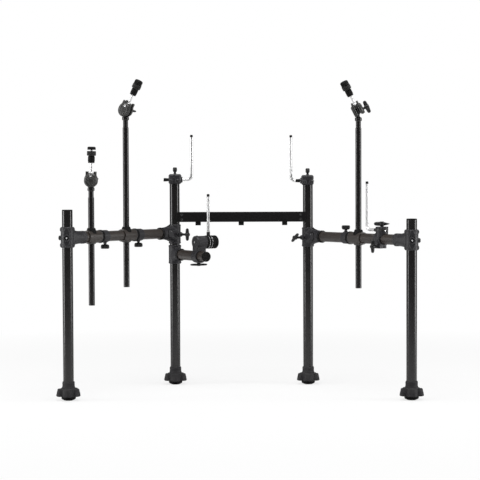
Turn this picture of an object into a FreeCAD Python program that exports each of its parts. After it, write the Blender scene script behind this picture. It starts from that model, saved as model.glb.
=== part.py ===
import FreeCAD, Part
import math
import os

# Drum rack frame: four tube posts on rubber star feet, a flat bar between the two centre posts,
# two side tubes in cast clamps, three cymbal arms, two tom holders, a snare arm and a rod holder.
# Millimetres, +Z up, +X to the right of a viewer in front, -Y towards that viewer.
# The origin is on the floor, in the middle of the rack's outline.

V = FreeCAD.Vector

# Plan of the posts
OUTER_SPAN = 1232.0
CENTER_SPAN = 513.0
POST_DEPTH = 454.0

# Tubes and rods
TUBE_D = 38.1
TUBE_WALL = 2.0
POLE_D = 22.2
POLE_WALL = 1.5
TILT_ROD_D = 8.0
HOLDER_ROD_D = 10.5

# Heights
CENTER_POST_TOP = 799.0
OUTER_POST_TOP = {-1: 685.5, 1: 649.5}
SIDE_TUBE_Z = {-1: 584.5, 1: 571.5}
BAR_Z = 646.5

# Fits
RUN = 0.08
SEAT_GAP = 0.3
HOLE_PLAY = 0.6

# Rubber feet
FOOT_LOBES = 5
FOOT_R = 45.0
FOOT_TOP_R = 39.5
FOOT_Z = 14.5
FOOT_TOP = 42.5
LOBE_LOW = 0.4
LOBE_HIGH = 0.36
FOOT_COLLAR_R = 23.0
FOOT_COLLAR_TOP = 69.0
FOOT_FLOOR = 19.0
PAD_R = 26.0
PAD_FLAT_R = 15.0
PAD_ROUND = 7.5
PAD_TOP = 16.5
PAD_STUD_R = 8.0
PAD_STUD_TOP = 23.0
CAP_T = 4.0
CAP_PLUG = 14.0

# Cross bar and its cable clips
BAR_H = 38.1
BAR_T = 30.0
BAR_WALL = 2.5
BAR_FRONT = 21.5
BAR_LAP = 6.5
BAR_END_PLUG = 32.0
BAR_SCREW_IN = 9.0
BAR_HEAD_R = 5.4
BAR_HEAD_DEEP = 3.0
BAR_SCREW_L = 22.0
CLIP_X = (-166.0, 0.0, 167.0)
CLIP_W = 20.0
CLIP_DROP = 13.0
CLIP_DEPTH = 26.0
CLIP_HOLE_R = 4.2

# Clamps on the posts
CENTER_CLAMP_UP = 33.5
CENTER_CLAMP_DOWN = 40.5
OUTER_CLAMP_UP = 39.0
OUTER_CLAMP_DOWN = 35.0
CENTER_CLAMP_R = 22.6
OUTER_CLAMP_R = 24.0
CENTER_SOCKET = 88.0
OUTER_SOCKET = 80.0
SOCKET_R = 22.4
SOCKET_LIP = 1.0
FLARE = 2.6
FLARE_STEPS = 5
SOCKET_RISE = 0.3
SOCKET_LIP_W = 8.0
TUBE_STOP = 27.0
CLAMP_BOSS_R = 9.0
CLAMP_BOSS = 34.0
CLAMP_BOLT_DROP = 4.5
DISC_R = 15.0
DISC_X = 46.0
DISC_T = 4.0
SCREW_R = 4.5
SCREW_SHANK_R = 3.0
KEY_R = 2.2
KEY_DEEP = 1.6
NUT_BASE_R = 8.5
NUT_CAP_R = 6.0
SOCKET_HOLE_R = 3.2
SOCKET_HOLES = (45, 135, 225, 315)

# Wing bolts
BOLT_R = 4.0
BOLT_SEAT_R = 6.5
BOLT_NECK_R = 4.6
WING_SPAN = 48.0
WING_DEPTH = 16.0
WING_T = 9.5
HUB_R = 8.0
CLAMP_BOLT_NECK = 22.0
TOP_BOLT_NECK = 9.0
TOP_BOLT_T = 11.0

# Cross clamps that hold the cymbal arms, measured along the side tube from the pole
SLEEVE_R = 23.0
SLEEVE_OUT = 27.0
SLEEVE_IN = 38.0
RING_L = 40.0
RING_R = 22.8
RING_SLOTS = 10
RING_SLOT_W = 6.0
RING_SLOT_DEEP = 1.4
RING_SLOT_L = 9.0
CONE_BASE_R = 19.5
CONE_TOP_R = 13.8
CONE_TOP = 31.0
CONE_FOOT = 14.0
KNOB_BOSS_R = 6.5
KNOB_BOSS = 27.0
KNOB_NECK = 3.0
KNOB_SPAN = 34.0
KNOB_H = 16.5
KNOB_T = 18.0

# Cymbal arms: side, place along the side tube from the centre post, distance of the knob from the pole,
# ends of the pole, height of the ball, tilt of the rod and the compass direction of that tilt, whether
# the tilter's bolt lies along the tilt axis (behind the ball) or points to the right, and how far up the
# rod the nut starts
ARMS = {
    "left_short": dict(side=-1, along=457.0, knob=71.0, bottom=334.0, top=727.5, ball=788.5, tilt=1.5,
                       lean=0.0, bolt="behind", nut=112.5),
    "left_tall": dict(side=-1, along=272.0, knob=66.0, bottom=391.0, top=985.5, ball=1049.5, tilt=29.0,
                      lean=-25.0, bolt="behind", nut=108.3),
    "right": dict(side=1, along=293.0, knob=71.0, bottom=385.5, top=979.5, ball=1042.0, tilt=30.0,
                  lean=205.0, bolt="right", nut=108.3),
}
NECK_INSERT = 90.0
NECK_COLLAR_R = 12.9
NECK_COLLAR_LOW = 38.0
NECK_COLLAR_HIGH = 25.0
NECK_STEM_R = 5.5
BALL_R = 12.0
JAW_R = 24.0
JAW_UP = 4.0
JAW_GAP = 13.0
JAW_T = 12.5
JAW_CHAMFER = 5.0
JAW_MOUTH = 40.0
HORN_AT = 14.5
HORN_W = 9.0
HORN_TOP = 34.0
PIN_UP = 17.5
PIN_R = 3.0
PIN_HEAD_R = 4.6
LUG_LOW = 12.6
LUG_HIGH = 27.0
LUG_W = 18.0
SEAT_SLEEVE_R = 11.9
SEAT_LOW = 64.5
FELT_LOW = 91.0
FELT_R = 16.6
FELT_HIGH = 108.0
NUT_HIGH = 124.5
NUT_R = 15.2
TILTER_BOLT_NECK = 8.0
TILTER_BOLT_SPAN = 50.0

# Tom holders on the centre posts
TOM_ROD_Z = {-1: 790.0, 1: 784.5}
TOM_BODY_OUT = 22.0
TOM_BODY_IN = 24.5
TOM_BODY_BACK = 46.0
TOM_BODY_FRONT = 24.5
TOM_BODY_LOW = 17.0
TOM_BODY_HIGH = 22.0
TOM_CHAMFER = 5.0
TOM_CORNER = 9.0
TOM_BOSS = 29.0
TOM_BOSS_R = 11.0
TOM_ROD_BACK = 31.0
TOM_ROD_REACH = 64.5
TOM_ROD_TOP = {-1: 963.0, 1: 960.5}
ROD_BEND_R = 16.0
ROD_TIP_L = 9.0
MEMORY_COLLAR_R = 6.6
MEMORY_COLLAR_L = 21.5
TOM_ROD_TAIL = 45.5

# Snare arm
SNARE_Z = 503.0
SNARE_CLAMP_R = 23.6
SNARE_CLAMP_H = 72.0
SNARE_ANGLE = -58.0
SNARE_REACH = 245.0
SNARE_SOCKET = 52.0
SNARE_CAP_T = 5.0
BAND_AT = 186.0
BAND_W = 36.0
BAND_R = 24.6
DRUM_UP = 52.0
DRUM_R = 24.0
BOSS_IN = -17.0
BOSS_OUT = 27.0
BARREL_OUT = 76.0
BARREL_R = 25.0
BARREL_PIN_R = 8.0
BARREL_ROD_AT = 42.0
ROD_HOLE_FLOOR = 5.0
BARREL_GROOVES = 2
BARREL_GROOVE = 2.0
BARREL_KNOB = 16.0
BARREL_PIN_LOW = 9.0
SNARE_ROD_TOP = 736.0
SNARE_STOP_L = 13.0
BAND_BOLT_NECK = 2.4
SNARE_BOLT_SPAN = 66.0
SNARE_BOLT_DEPTH = 9.0
SNARE_BOLT_T = 13.0

# Rod holder on the right side tube
HOLDER_AT = 416.0
HOLDER_BAND_W = 34.0
HOLDER_BAND_R = 24.6
HOLDER_DRUM_AT = 6.0
HOLDER_DRUM_R = 22.5
HOLDER_DRUM_TOP = 45.5
HOLDER_ROD_UP = 33.0
HOLDER_ROD_AT = 340.5
HOLDER_ROD_TOP = 782.0
HOLDER_ROD_TAIL = 24.0
HOLDER_COLLAR_L = 14.0
HOLDER_EAR_DROP = 33.5
HOLDER_EAR_BACK = 13.0
HOLDER_EAR_FRONT = 21.0
HOLDER_SLOT = 3.0
HOLDER_PINCH = 26.0
HOLDER_BOLT_SPAN = 60.0
HOLDER_BOLT_NECK = 2.5
PINCH_BOLT_SPAN = 47.0
PINCH_BOLT_NECK = 11.0

TUBE_R = TUBE_D / 2
POLE_R = POLE_D / 2
ROD_R = HOLDER_ROD_D / 2
TILT_ROD_R = TILT_ROD_D / 2
MIDDLE_Y = (FOOT_R - TOM_ROD_BACK - WING_SPAN / 2) / 2
POST_Y = MIDDLE_Y + POST_DEPTH / 2
X_AXIS = V(1, 0, 0)
Y_AXIS = V(0, 1, 0)
Z_AXIS = V(0, 0, 1)
ORIGIN = V(0, 0, 0)


def place(shape, origin, z_axis=Z_AXIS, x_axis=X_AXIS):
    """Carries a shape from its own axes to the given origin and axes."""
    z = V(z_axis).normalize()
    y = z.cross(x_axis).normalize()
    x = y.cross(z)
    matrix = FreeCAD.Matrix(x.x, y.x, z.x, origin.x, x.y, y.y, z.y, origin.y, x.z, y.z, z.z, origin.z)
    moved = shape.copy()
    moved.Placement = FreeCAD.Placement(matrix).multiply(moved.Placement)
    return moved


def rod(radius, low, high, axis=Z_AXIS, at=ORIGIN):
    """A round bar along an axis, from one distance to another."""
    return Part.makeCylinder(radius, high - low, at + axis * low, axis)


def tube(outer, inner, low, high, axis=Z_AXIS, at=ORIGIN):
    return rod(outer, low, high, axis, at).cut(rod(inner, low - 1, high + 1, axis, at))


def block(x, y, z):
    """A box between two values on each axis."""
    return Part.makeBox(x[1] - x[0], y[1] - y[0], z[1] - z[0], V(x[0], y[0], z[0]))


def lathe(profile):
    """Turns an outline of (radius, height) points about Z."""
    points = [V(r, 0, h) for r, h in profile]
    face = Part.Face(Part.makePolygon(points + [points[0]]))
    return face.revolve(ORIGIN, Z_AXIS, 360)


def stadium(half_width, up, down, x):
    """An upright slot outline in the plane X = x."""
    low = V(x, 0, half_width - down)
    high = V(x, 0, up - half_width)
    side = V(0, half_width, 0)
    top = Part.Arc(high + side, high + V(0, 0, half_width), high - side)
    bottom = Part.Arc(low - side, low - V(0, 0, half_width), low + side)
    right = Part.LineSegment(high - side, low - side)
    left = Part.LineSegment(low + side, high + side)
    return Part.Wire([top.toShape(), right.toShape(), bottom.toShape(), left.toShape()])


def bar(span, depth, thickness, base):
    """A bar across Z with round ends, standing on the height base."""
    r = depth / 2
    reach = span / 2 - r
    low = V(reach, 0, base)
    high = V(reach, 0, base + depth)
    right = Part.Arc(low, V(reach + r, 0, base + r), high)
    left = Part.Arc(V(-reach, 0, base + depth), V(-reach - r, 0, base + r), V(-reach, 0, base))
    over = Part.LineSegment(high, V(-reach, 0, base + depth))
    under = Part.LineSegment(V(-reach, 0, base), low)
    outline = Part.Wire([right.toShape(), over.toShape(), left.toShape(), under.toShape()])
    solid = Part.Face(outline).extrude(V(0, thickness, 0))
    solid.translate(V(0, -thickness / 2, 0))
    return solid


def wing_bolt(neck, shaft, span=WING_SPAN, depth=WING_DEPTH, thickness=WING_T):
    """A wing bolt that points out along Z from its seat at the origin, with its thread below."""
    seat_top = SEAT_GAP + 1.5
    stem = lathe([(0, SEAT_GAP), (BOLT_SEAT_R, SEAT_GAP), (BOLT_SEAT_R, seat_top),
                  (BOLT_NECK_R, seat_top + 0.5), (BOLT_NECK_R, neck), (0, neck)])
    hub = lathe([(0, neck - 1), (HUB_R - 2.5, neck - 1), (HUB_R, neck + 2), (HUB_R, neck + depth - 2),
                 (HUB_R - 2.5, neck + depth + 1), (0, neck + depth + 1)])
    thread = rod(BOLT_R - RUN, -shaft, SEAT_GAP + 1)
    return stem.fuse([hub, bar(span, depth, thickness, neck), thread]).removeSplitter()


def post_place(side, center):
    """The axis of a post: side -1 is left, 1 is right."""
    if center:
        return V(side * CENTER_SPAN / 2, POST_Y, 0)
    return V(side * OUTER_SPAN / 2, MIDDLE_Y - POST_DEPTH / 2, 0)


def wing_length(side):
    return (post_place(side, False) - post_place(side, True)).Length


def wing_axis(side):
    """The horizontal direction of a side tube, from its centre post to its outer post."""
    return (post_place(side, False) - post_place(side, True)).normalize()


def on_wing(shape, side, along):
    """Carries a shape whose X runs along the side tube and whose Y faces the viewer."""
    if side > 0:
        shape = shape.mirror(ORIGIN, Y_AXIS)
    at = post_place(side, True) + wing_axis(side) * along
    at.z = SIDE_TUBE_Z[side]
    return place(shape, at, Z_AXIS, wing_axis(side))


def front_normal(side):
    """The horizontal direction across a side tube that faces the viewer."""
    t = wing_axis(side)
    return V(t.y * side, -t.x * side, 0)


def arm_place(name):
    arm = ARMS[name]
    at = post_place(arm["side"], True) + wing_axis(arm["side"]) * arm["along"]
    return V(at.x, at.y, 0)


def save(name, *solids):
    """Writes a node, whose pieces have to be sound solids."""
    pieces = []
    for shape in solids:
        pieces.extend(shape.Solids)
    for solid in pieces:
        if not solid.isValid() or solid.Volume <= 0:
            raise ValueError(name + " has an unsound solid")
    whole = pieces[0] if len(pieces) == 1 else Part.makeCompound(pieces)
    whole.exportStep("parts/" + name + ".step")
    print(name, len(pieces), round(sum(s.Volume for s in pieces)))


def post(bottom, top, at):
    """A post tube that stands in its foot."""
    return tube(TUBE_R, TUBE_R - TUBE_WALL, bottom, top, Z_AXIS, at)


def star_foot(at):
    """A flared rubber foot with lobes and a collar that grips the post."""
    core = lathe([(0, FOOT_Z), (FOOT_R * 0.72, FOOT_Z), (FOOT_TOP_R * 0.72, FOOT_TOP), (0, FOOT_TOP)])
    lobe_low = FOOT_R * LOBE_LOW
    lobe_high = FOOT_TOP_R * LOBE_HIGH
    for i in range(FOOT_LOBES):
        angle = math.radians(-90 + 360 * i / FOOT_LOBES)
        out = V(math.cos(angle), math.sin(angle), 0)
        low = Part.Wire(Part.makeCircle(lobe_low, out * (FOOT_R - lobe_low) + V(0, 0, FOOT_Z)))
        high = Part.Wire(Part.makeCircle(lobe_high, out * (FOOT_TOP_R - lobe_high) + V(0, 0, FOOT_TOP)))
        core = core.fuse(Part.makeLoft([low, high], True, True))
    collar = lathe([(0, FOOT_TOP - 1), (FOOT_COLLAR_R, FOOT_TOP - 1), (FOOT_COLLAR_R, FOOT_COLLAR_TOP - 5),
                    (FOOT_COLLAR_R - 2.6, FOOT_COLLAR_TOP), (0, FOOT_COLLAR_TOP)])
    foot = core.fuse(collar)
    foot = foot.cut(rod(TUBE_R + RUN, FOOT_FLOOR, FOOT_COLLAR_TOP + 1))
    foot = foot.cut(rod(PAD_STUD_R + RUN, FOOT_Z - 1, FOOT_FLOOR + 1))
    foot = foot.cut(rod(PAD_R + RUN, FOOT_Z - 1, PAD_TOP - 1))
    return place(foot.removeSplitter(), at)


def foot_pad(at):
    """The black pad under a foot, with the stud that plugs it into the foot."""
    pad = lathe([(0, 0), (PAD_FLAT_R, 0), (PAD_R - 2, PAD_ROUND - 3), (PAD_R, PAD_ROUND),
                 (PAD_R, PAD_TOP - 1 - RUN), (PAD_STUD_R, PAD_TOP - 1 - RUN), (PAD_STUD_R, PAD_STUD_TOP),
                 (0, PAD_STUD_TOP)])
    return place(pad, at)


def end_cap(at, top):
    """A plug in the top of an outer post."""
    plug_r = TUBE_R - TUBE_WALL - RUN
    cap = lathe([(0, top - CAP_PLUG), (plug_r, top - CAP_PLUG), (plug_r, top + RUN), (TUBE_R, top + RUN),
                 (TUBE_R, top + CAP_T - 1), (TUBE_R - 1, top + CAP_T), (0, top + CAP_T)])
    return place(cap, V(at.x, at.y, 0))


def cross_bar():
    """The flat bar, whose ends are shaped round the front of the centre posts."""
    half = CENTER_SPAN / 2 - BAR_LAP
    y = (POST_Y - BAR_FRONT, POST_Y - BAR_FRONT + BAR_T)
    z = (BAR_Z - BAR_H / 2, BAR_Z + BAR_H / 2)
    solid = block((-half, half), y, z)
    inner = half - BAR_END_PLUG
    hollow = block((-inner, inner), (y[0] + BAR_WALL, y[1] - BAR_WALL), (z[0] + BAR_WALL, z[1] - BAR_WALL))
    solid = solid.cut(hollow)
    for side in (-1, 1):
        at = post_place(side, True)
        solid = solid.cut(rod(TUBE_R + RUN, z[0] - 1, z[1] + 1, Z_AXIS, at))
        for dz in (-BAR_H / 4, BAR_H / 4):
            hole = bar_screw_place(side, dz)
            solid = solid.cut(rod(SCREW_SHANK_R + RUN, -1, BAR_T, Y_AXIS, hole))
            solid = solid.cut(rod(BAR_HEAD_R + 0.2, -1, BAR_HEAD_DEEP + 0.2, Y_AXIS, hole))
    return solid


def bar_screw_place(side, dz):
    """Where a screw enters the front of the bar, beside the post."""
    return V(side * (CENTER_SPAN / 2 - TUBE_R - BAR_SCREW_IN), POST_Y - BAR_FRONT, BAR_Z + dz)


def cross_bar_screws():
    """Socket screws that hold the bar's end blocks, set into its front."""
    found = []
    for side in (-1, 1):
        for dz in (-BAR_H / 4, BAR_H / 4):
            screw = rod(BAR_HEAD_R, -BAR_HEAD_DEEP, 0.2)
            screw = screw.fuse(rod(SCREW_SHANK_R, -BAR_SCREW_L, -BAR_HEAD_DEEP + 0.1))
            screw = screw.cut(rod(KEY_R, -KEY_DEEP, 1))
            found.append(place(screw, bar_screw_place(side, dz), V(0, -1, 0)))
    return found


def cable_clip(x):
    """A clip under the bar, with a round way for cables and a slit to press them in."""
    top = BAR_Z - BAR_H / 2 - RUN
    y = POST_Y - BAR_FRONT + BAR_T / 2
    depth = (y - CLIP_DEPTH / 2, y + CLIP_DEPTH / 2)
    body = block((x - CLIP_W / 2, x + CLIP_W / 2), depth, (top - CLIP_DROP, top))
    middle = V(0, y, top - CLIP_DROP / 2)
    low_x = x - CLIP_W / 2 - 1
    body = body.cut(rod(CLIP_HOLE_R, low_x, low_x + CLIP_W + 2, X_AXIS, middle))
    slit = block((low_x, low_x + CLIP_W + 2), (y - 1.2, y + 1.2), (top - CLIP_DROP - 1, top - CLIP_DROP / 2))
    body = body.cut(slit)
    return body


def clamp(radius, socket, up, down):
    """A cast clamp round a post at the origin, with a flared socket along X for a tube."""
    inner = radius - 1
    barrel = lathe([(0, -down), (inner, -down), (radius, 2 - down), (radius, up - 2), (inner, up), (0, up)])
    start = radius * 0.45
    mouth = socket - SOCKET_LIP_W
    sections = []
    for i in range(FLARE_STEPS):
        u = i / (FLARE_STEPS - 1)
        x = start + (mouth - start) * u
        flare = (1 - u) ** FLARE
        rise = SOCKET_RISE + (up - 3 - SOCKET_R - SOCKET_RISE) * flare
        fall = SOCKET_RISE + (down - 3 - SOCKET_R - SOCKET_RISE) * flare
        half_width = SOCKET_R - (SOCKET_R - radius + 2) * flare
        sections.append(stadium(half_width, rise + SOCKET_R, fall + SOCKET_R, x))
    flared = Part.makeLoft(sections, True, False)
    lip = rod(SOCKET_R + SOCKET_LIP, mouth - 1, socket, X_AXIS)
    body = barrel.fuse([flared, lip])
    body = body.cut(rod(TUBE_R + RUN, -down - 1, up + 1))
    return body.cut(rod(TUBE_R + RUN, TUBE_STOP, socket + 1, X_AXIS))


def center_clamp(side):
    """The clamp on a centre post, with a bolt boss that faces across the side tube."""
    body = clamp(CENTER_CLAMP_R, CENTER_SOCKET, CENTER_CLAMP_UP, CENTER_CLAMP_DOWN)
    low = V(0, 0, -CLAMP_BOLT_DROP)
    boss = rod(CLAMP_BOSS_R, TUBE_R + 1, CLAMP_BOSS, Y_AXIS, low)
    disc = rod(DISC_R, SOCKET_R - 2, SOCKET_R + DISC_T - 2, Y_AXIS, V(DISC_X, 0, 0))
    body = body.fuse([boss, disc])
    body = body.cut(rod(TUBE_R + RUN, -CENTER_CLAMP_DOWN, CENTER_CLAMP_UP))
    body = body.cut(rod(TUBE_R + RUN, TUBE_STOP, CENTER_SOCKET + 1, X_AXIS))
    body = body.cut(rod(BOLT_R, TUBE_R - 2, CLAMP_BOSS + 1, Y_AXIS, low))
    return on_wing(body, side, 0)


def outer_screw_axis(side):
    """The direction of the outer clamp's front screw in the clamp's own axes: towards the viewer."""
    t = wing_axis(side)
    f = front_normal(side)
    return V(t.y, f.y, 0)


def outer_bolt_axis(side):
    """The direction to the rack's outer side in the clamp's own axes."""
    t = wing_axis(side)
    f = front_normal(side)
    return V(-t.x * side, -f.x * side, 0)


def outer_clamp(side):
    """The clamp on an outer post: its own X points along the side tube to the rack's middle."""
    body = clamp(OUTER_CLAMP_R, OUTER_SOCKET, OUTER_CLAMP_UP, OUTER_CLAMP_DOWN)
    front = outer_screw_axis(side)
    outward = outer_bolt_axis(side)
    body = body.fuse([rod(CLAMP_BOSS_R + 1, TUBE_R + 1, OUTER_CLAMP_R + 2.5, front),
                      rod(CLAMP_BOSS_R - 1, TUBE_R + 1, OUTER_CLAMP_R + 2.0, outward)])
    body = body.cut(rod(TUBE_R + RUN, -OUTER_CLAMP_DOWN, OUTER_CLAMP_UP))
    body = body.cut(rod(TUBE_R + RUN, TUBE_STOP, OUTER_SOCKET + 1, X_AXIS))
    body = body.cut(rod(SCREW_SHANK_R + RUN, TUBE_R - 2, OUTER_CLAMP_R + 4, front))
    body = body.cut(rod(SCREW_SHANK_R + RUN, TUBE_R - 2, OUTER_CLAMP_R + 4, outward))
    for angle in SOCKET_HOLES:
        turn = math.radians(angle)
        out = V(0, math.cos(turn), math.sin(turn))
        at = V(OUTER_SOCKET - 10, 0, 0)
        body = body.cut(rod(SOCKET_HOLE_R, SOCKET_R - 1.6, SOCKET_R + 4, out, at))
    return flip_on_wing(body, side)


def flip_on_wing(shape, side):
    """Carries a shape to the outer post, with its own X back towards the centre post."""
    turned = place(shape, ORIGIN, Z_AXIS, V(-1, 0, 0))
    return on_wing(turned, side, wing_length(side))


def outer_clamp_screws(side):
    """The screw in front and the cap nut at the outer side."""
    front = outer_screw_axis(side)
    outward = outer_bolt_axis(side)
    head = OUTER_CLAMP_R + 5.5
    screw = rod(SCREW_SHANK_R, TUBE_R + SEAT_GAP, OUTER_CLAMP_R + 3, front)
    screw = screw.fuse(rod(SCREW_R, OUTER_CLAMP_R + 2.5 + RUN, head, front))
    screw = screw.cut(rod(KEY_R, head - KEY_DEEP, head + 1, front))
    nut = rod(SCREW_SHANK_R, TUBE_R + SEAT_GAP, OUTER_CLAMP_R + 3, outward)
    nut = nut.fuse(rod(NUT_BASE_R, OUTER_CLAMP_R + 2.0 + RUN, OUTER_CLAMP_R + 5.0, outward))
    nut = nut.fuse(rod(NUT_CAP_R, OUTER_CLAMP_R + 4.5, OUTER_CLAMP_R + 8.0, outward))
    return flip_on_wing(Part.makeCompound([screw, nut]), side)


def side_tube(side):
    """The tube of a wing, drilled for the cymbal poles that pass through it."""
    length = wing_length(side)
    body = tube(TUBE_R, TUBE_R - TUBE_WALL, TUBE_STOP + 1, length - TUBE_STOP - 1, X_AXIS)
    for arm in ARMS.values():
        if arm["side"] == side:
            body = body.cut(rod(POLE_R + HOLE_PLAY, -TUBE_D, TUBE_D, Z_AXIS, V(arm["along"], 0, 0)))
    return on_wing(body, side, 0)


def pole_sleeve():
    """The sleeve of a cross clamp: round the side tube, with a cone above and below for the pole."""
    body = rod(SLEEVE_R, -SLEEVE_IN, SLEEVE_OUT, X_AXIS)
    cone = lathe([(0, 0), (CONE_BASE_R, 0), (CONE_BASE_R, CONE_FOOT), (CONE_TOP_R, CONE_TOP), (0, CONE_TOP)])
    body = body.fuse([cone, cone.mirror(ORIGIN, Z_AXIS)])
    body = body.cut(rod(TUBE_R + RUN, -SLEEVE_IN - 1, SLEEVE_OUT + 1, X_AXIS))
    return body.cut(rod(POLE_R + RUN, -CONE_TOP - 1, CONE_TOP + 1))


def pole_ring(knob_way, knob_at):
    """The split ring beside the sleeve, with slots round it and a boss for its knob."""
    low = -SLEEVE_IN - SEAT_GAP - RING_L
    knob_place = V(-knob_at, 0, 0)
    body = rod(RING_R, low, -SLEEVE_IN - SEAT_GAP, X_AXIS)
    body = body.fuse(rod(KNOB_BOSS_R, TUBE_R + 1, KNOB_BOSS, Z_AXIS * knob_way, knob_place))
    for i in range(RING_SLOTS):
        angle = 2 * math.pi * (i + 0.5) / RING_SLOTS
        slot = block((-SLEEVE_IN - 3 - RING_SLOT_L, -SLEEVE_IN - 3), (-RING_SLOT_W / 2, RING_SLOT_W / 2),
                     (RING_R - RING_SLOT_DEEP, RING_R + 3))
        slot.rotate(ORIGIN, X_AXIS, math.degrees(angle))
        body = body.cut(slot)
    body = body.cut(rod(TUBE_R + RUN, low - 1, -SLEEVE_IN, X_AXIS))
    return body.cut(rod(BOLT_R, TUBE_R - 2, KNOB_BOSS + 1, Z_AXIS * knob_way, knob_place))


def pole_clamp(name):
    """Sleeve and ring of one cymbal arm, on its wing; the right arm's knob stands above the tube."""
    arm = ARMS[name]
    pair = Part.makeCompound([pole_sleeve(), pole_ring(arm["side"], arm["knob"])])
    return on_wing(pair, arm["side"], arm["along"])


def pole_knob(name):
    """The knob that tightens a ring."""
    arm = ARMS[name]
    way = arm["side"]
    neck = lathe([(0, SEAT_GAP), (5.0, SEAT_GAP), (5.0, KNOB_NECK), (0, KNOB_NECK)])
    handle = bar(KNOB_SPAN, KNOB_H, KNOB_T, KNOB_NECK - 0.5)
    thread = rod(BOLT_R - RUN, TUBE_R + SEAT_GAP - KNOB_BOSS, SEAT_GAP + 1)
    knob = neck.fuse([handle, thread]).removeSplitter()
    turned = place(knob, V(-arm["knob"], 0, way * KNOB_BOSS), Z_AXIS * way, V(-0.62, 0.78, 0))
    return on_wing(turned, arm["side"], arm["along"])


def cymbal_pole(name):
    """The lower tube of a cymbal arm, open at both ends."""
    arm = ARMS[name]
    return tube(POLE_R, POLE_R - POLE_WALL, arm["bottom"], arm["top"], Z_AXIS, arm_place(name))


def tilter_neck(name):
    """The upper tube that telescopes in the pole, with the collar, the stem and the ball."""
    arm = ARMS[name]
    ball = arm["ball"]
    upper_r = POLE_R - POLE_WALL - RUN
    collar_low = ball - NECK_COLLAR_LOW
    collar_high = ball - NECK_COLLAR_HIGH
    body = lathe([(0, arm["top"] - NECK_INSERT), (upper_r, arm["top"] - NECK_INSERT), (upper_r, collar_low),
                  (NECK_COLLAR_R, collar_low + 3), (NECK_COLLAR_R, collar_high),
                  (NECK_STEM_R + 1.5, collar_high + 3), (NECK_STEM_R, collar_high + 6),
                  (NECK_STEM_R, ball - 8), (0, ball - 8)])
    body = body.fuse(Part.makeSphere(BALL_R, V(0, 0, ball)))
    return place(body.removeSplitter(), arm_place(name))


def tilter_axes(name):
    """The ball's centre, the cymbal rod's direction and the direction of the jaws' bolt."""
    arm = ARMS[name]
    centre = arm_place(name) + V(0, 0, arm["ball"])
    compass = math.radians(arm["lean"])
    turn = math.radians(arm["tilt"])
    lean = V(math.cos(compass), math.sin(compass), 0)
    up = lean * math.sin(turn) + Z_AXIS * math.cos(turn)
    if arm["bolt"] == "behind":
        return centre, up, Z_AXIS.cross(lean)
    return centre, up, (X_AXIS - up * up.x).normalize()


def on_tilter(shape, name):
    """Carries a shape whose Z runs along the cymbal rod and whose Y runs along the bolt."""
    centre, up, bolt = tilter_axes(name)
    return place(shape, centre, up, bolt.cross(up))


def jaw_mouth():
    """The cone below the ball that leaves room for the stem at every tilt."""
    slope = math.tan(math.radians(JAW_MOUTH))
    apex = (NECK_STEM_R + HOLE_PLAY) / math.sin(math.radians(JAW_MOUTH))
    depth = JAW_R + JAW_T
    return lathe([(0, -depth), ((apex + depth) * slope, -depth), (0, apex)])


def tilter_jaws(name):
    """Two horned jaws that grip the ball, and the pin that joins them to the cymbal rod."""
    inner = JAW_GAP / 2
    outer = inner + JAW_T
    profile = [(0, inner), (JAW_R, inner), (JAW_R, outer - JAW_CHAMFER), (JAW_R - JAW_CHAMFER, outer),
               (0, outer)]
    found = []
    for way in (-1, 1):
        jaw = place(lathe(profile), V(0, 0, JAW_UP), Y_AXIS * way, X_AXIS)
        y = sorted((way * inner, way * (outer - JAW_CHAMFER)))
        for horn in (-HORN_AT, HORN_AT):
            jaw = jaw.fuse(block((horn - HORN_W / 2, horn + HORN_W / 2), y, (JAW_UP, HORN_TOP)))
        jaw = jaw.cut([Part.makeSphere(BALL_R + RUN, ORIGIN), jaw_mouth()])
        jaw = jaw.cut(rod(PIN_R + RUN, inner - 1, outer + 1, Y_AXIS * way, V(0, 0, PIN_UP)))
        if way > 0:
            jaw = jaw.cut(rod(BOLT_R, 0, outer + 1, Y_AXIS))
        found.append(on_tilter(jaw, name))
    pin = rod(PIN_R, -outer - 1, outer + 1, Y_AXIS, V(0, 0, PIN_UP))
    for way in (-1, 1):
        pin = pin.fuse(rod(PIN_HEAD_R, outer + RUN, outer + 2, Y_AXIS * way, V(0, 0, PIN_UP)))
    found.append(on_tilter(pin, name))
    return found


def tilt_rod(name):
    """The cymbal rod with its lug between the jaws, and the sleeve and the washer that ride on it."""
    half = JAW_GAP / 2 - RUN
    lug = block((-LUG_W / 2, LUG_W / 2), (-half, half), (LUG_LOW, LUG_HIGH))
    lug = lug.cut(Part.makeSphere(BALL_R + SEAT_GAP, ORIGIN))
    shaft = lug.fuse(rod(TILT_ROD_R, LUG_HIGH - 2, NUT_HIGH - 3))
    shaft = shaft.cut(rod(PIN_R + RUN, -half - 1, half + 1, Y_AXIS, V(0, 0, PIN_UP)))
    sleeve = tube(SEAT_SLEEVE_R, TILT_ROD_R + RUN, SEAT_LOW, FELT_LOW - RUN)
    washer = tube(FELT_R, TILT_ROD_R + RUN, FELT_LOW, FELT_HIGH)
    return [on_tilter(shape, name) for shape in (shaft, sleeve, washer)]


def tilter_bolt(name):
    """The wing bolt that presses on the ball through one jaw."""
    outer = JAW_GAP / 2 + JAW_T
    bolt = wing_bolt(TILTER_BOLT_NECK, outer - BALL_R - SEAT_GAP, span=TILTER_BOLT_SPAN)
    across = V(0.94, 0, 0.34) if ARMS[name]["bolt"] == "behind" else Z_AXIS
    return on_tilter(place(bolt, V(0, outer, 0), Y_AXIS, across), name)


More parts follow.
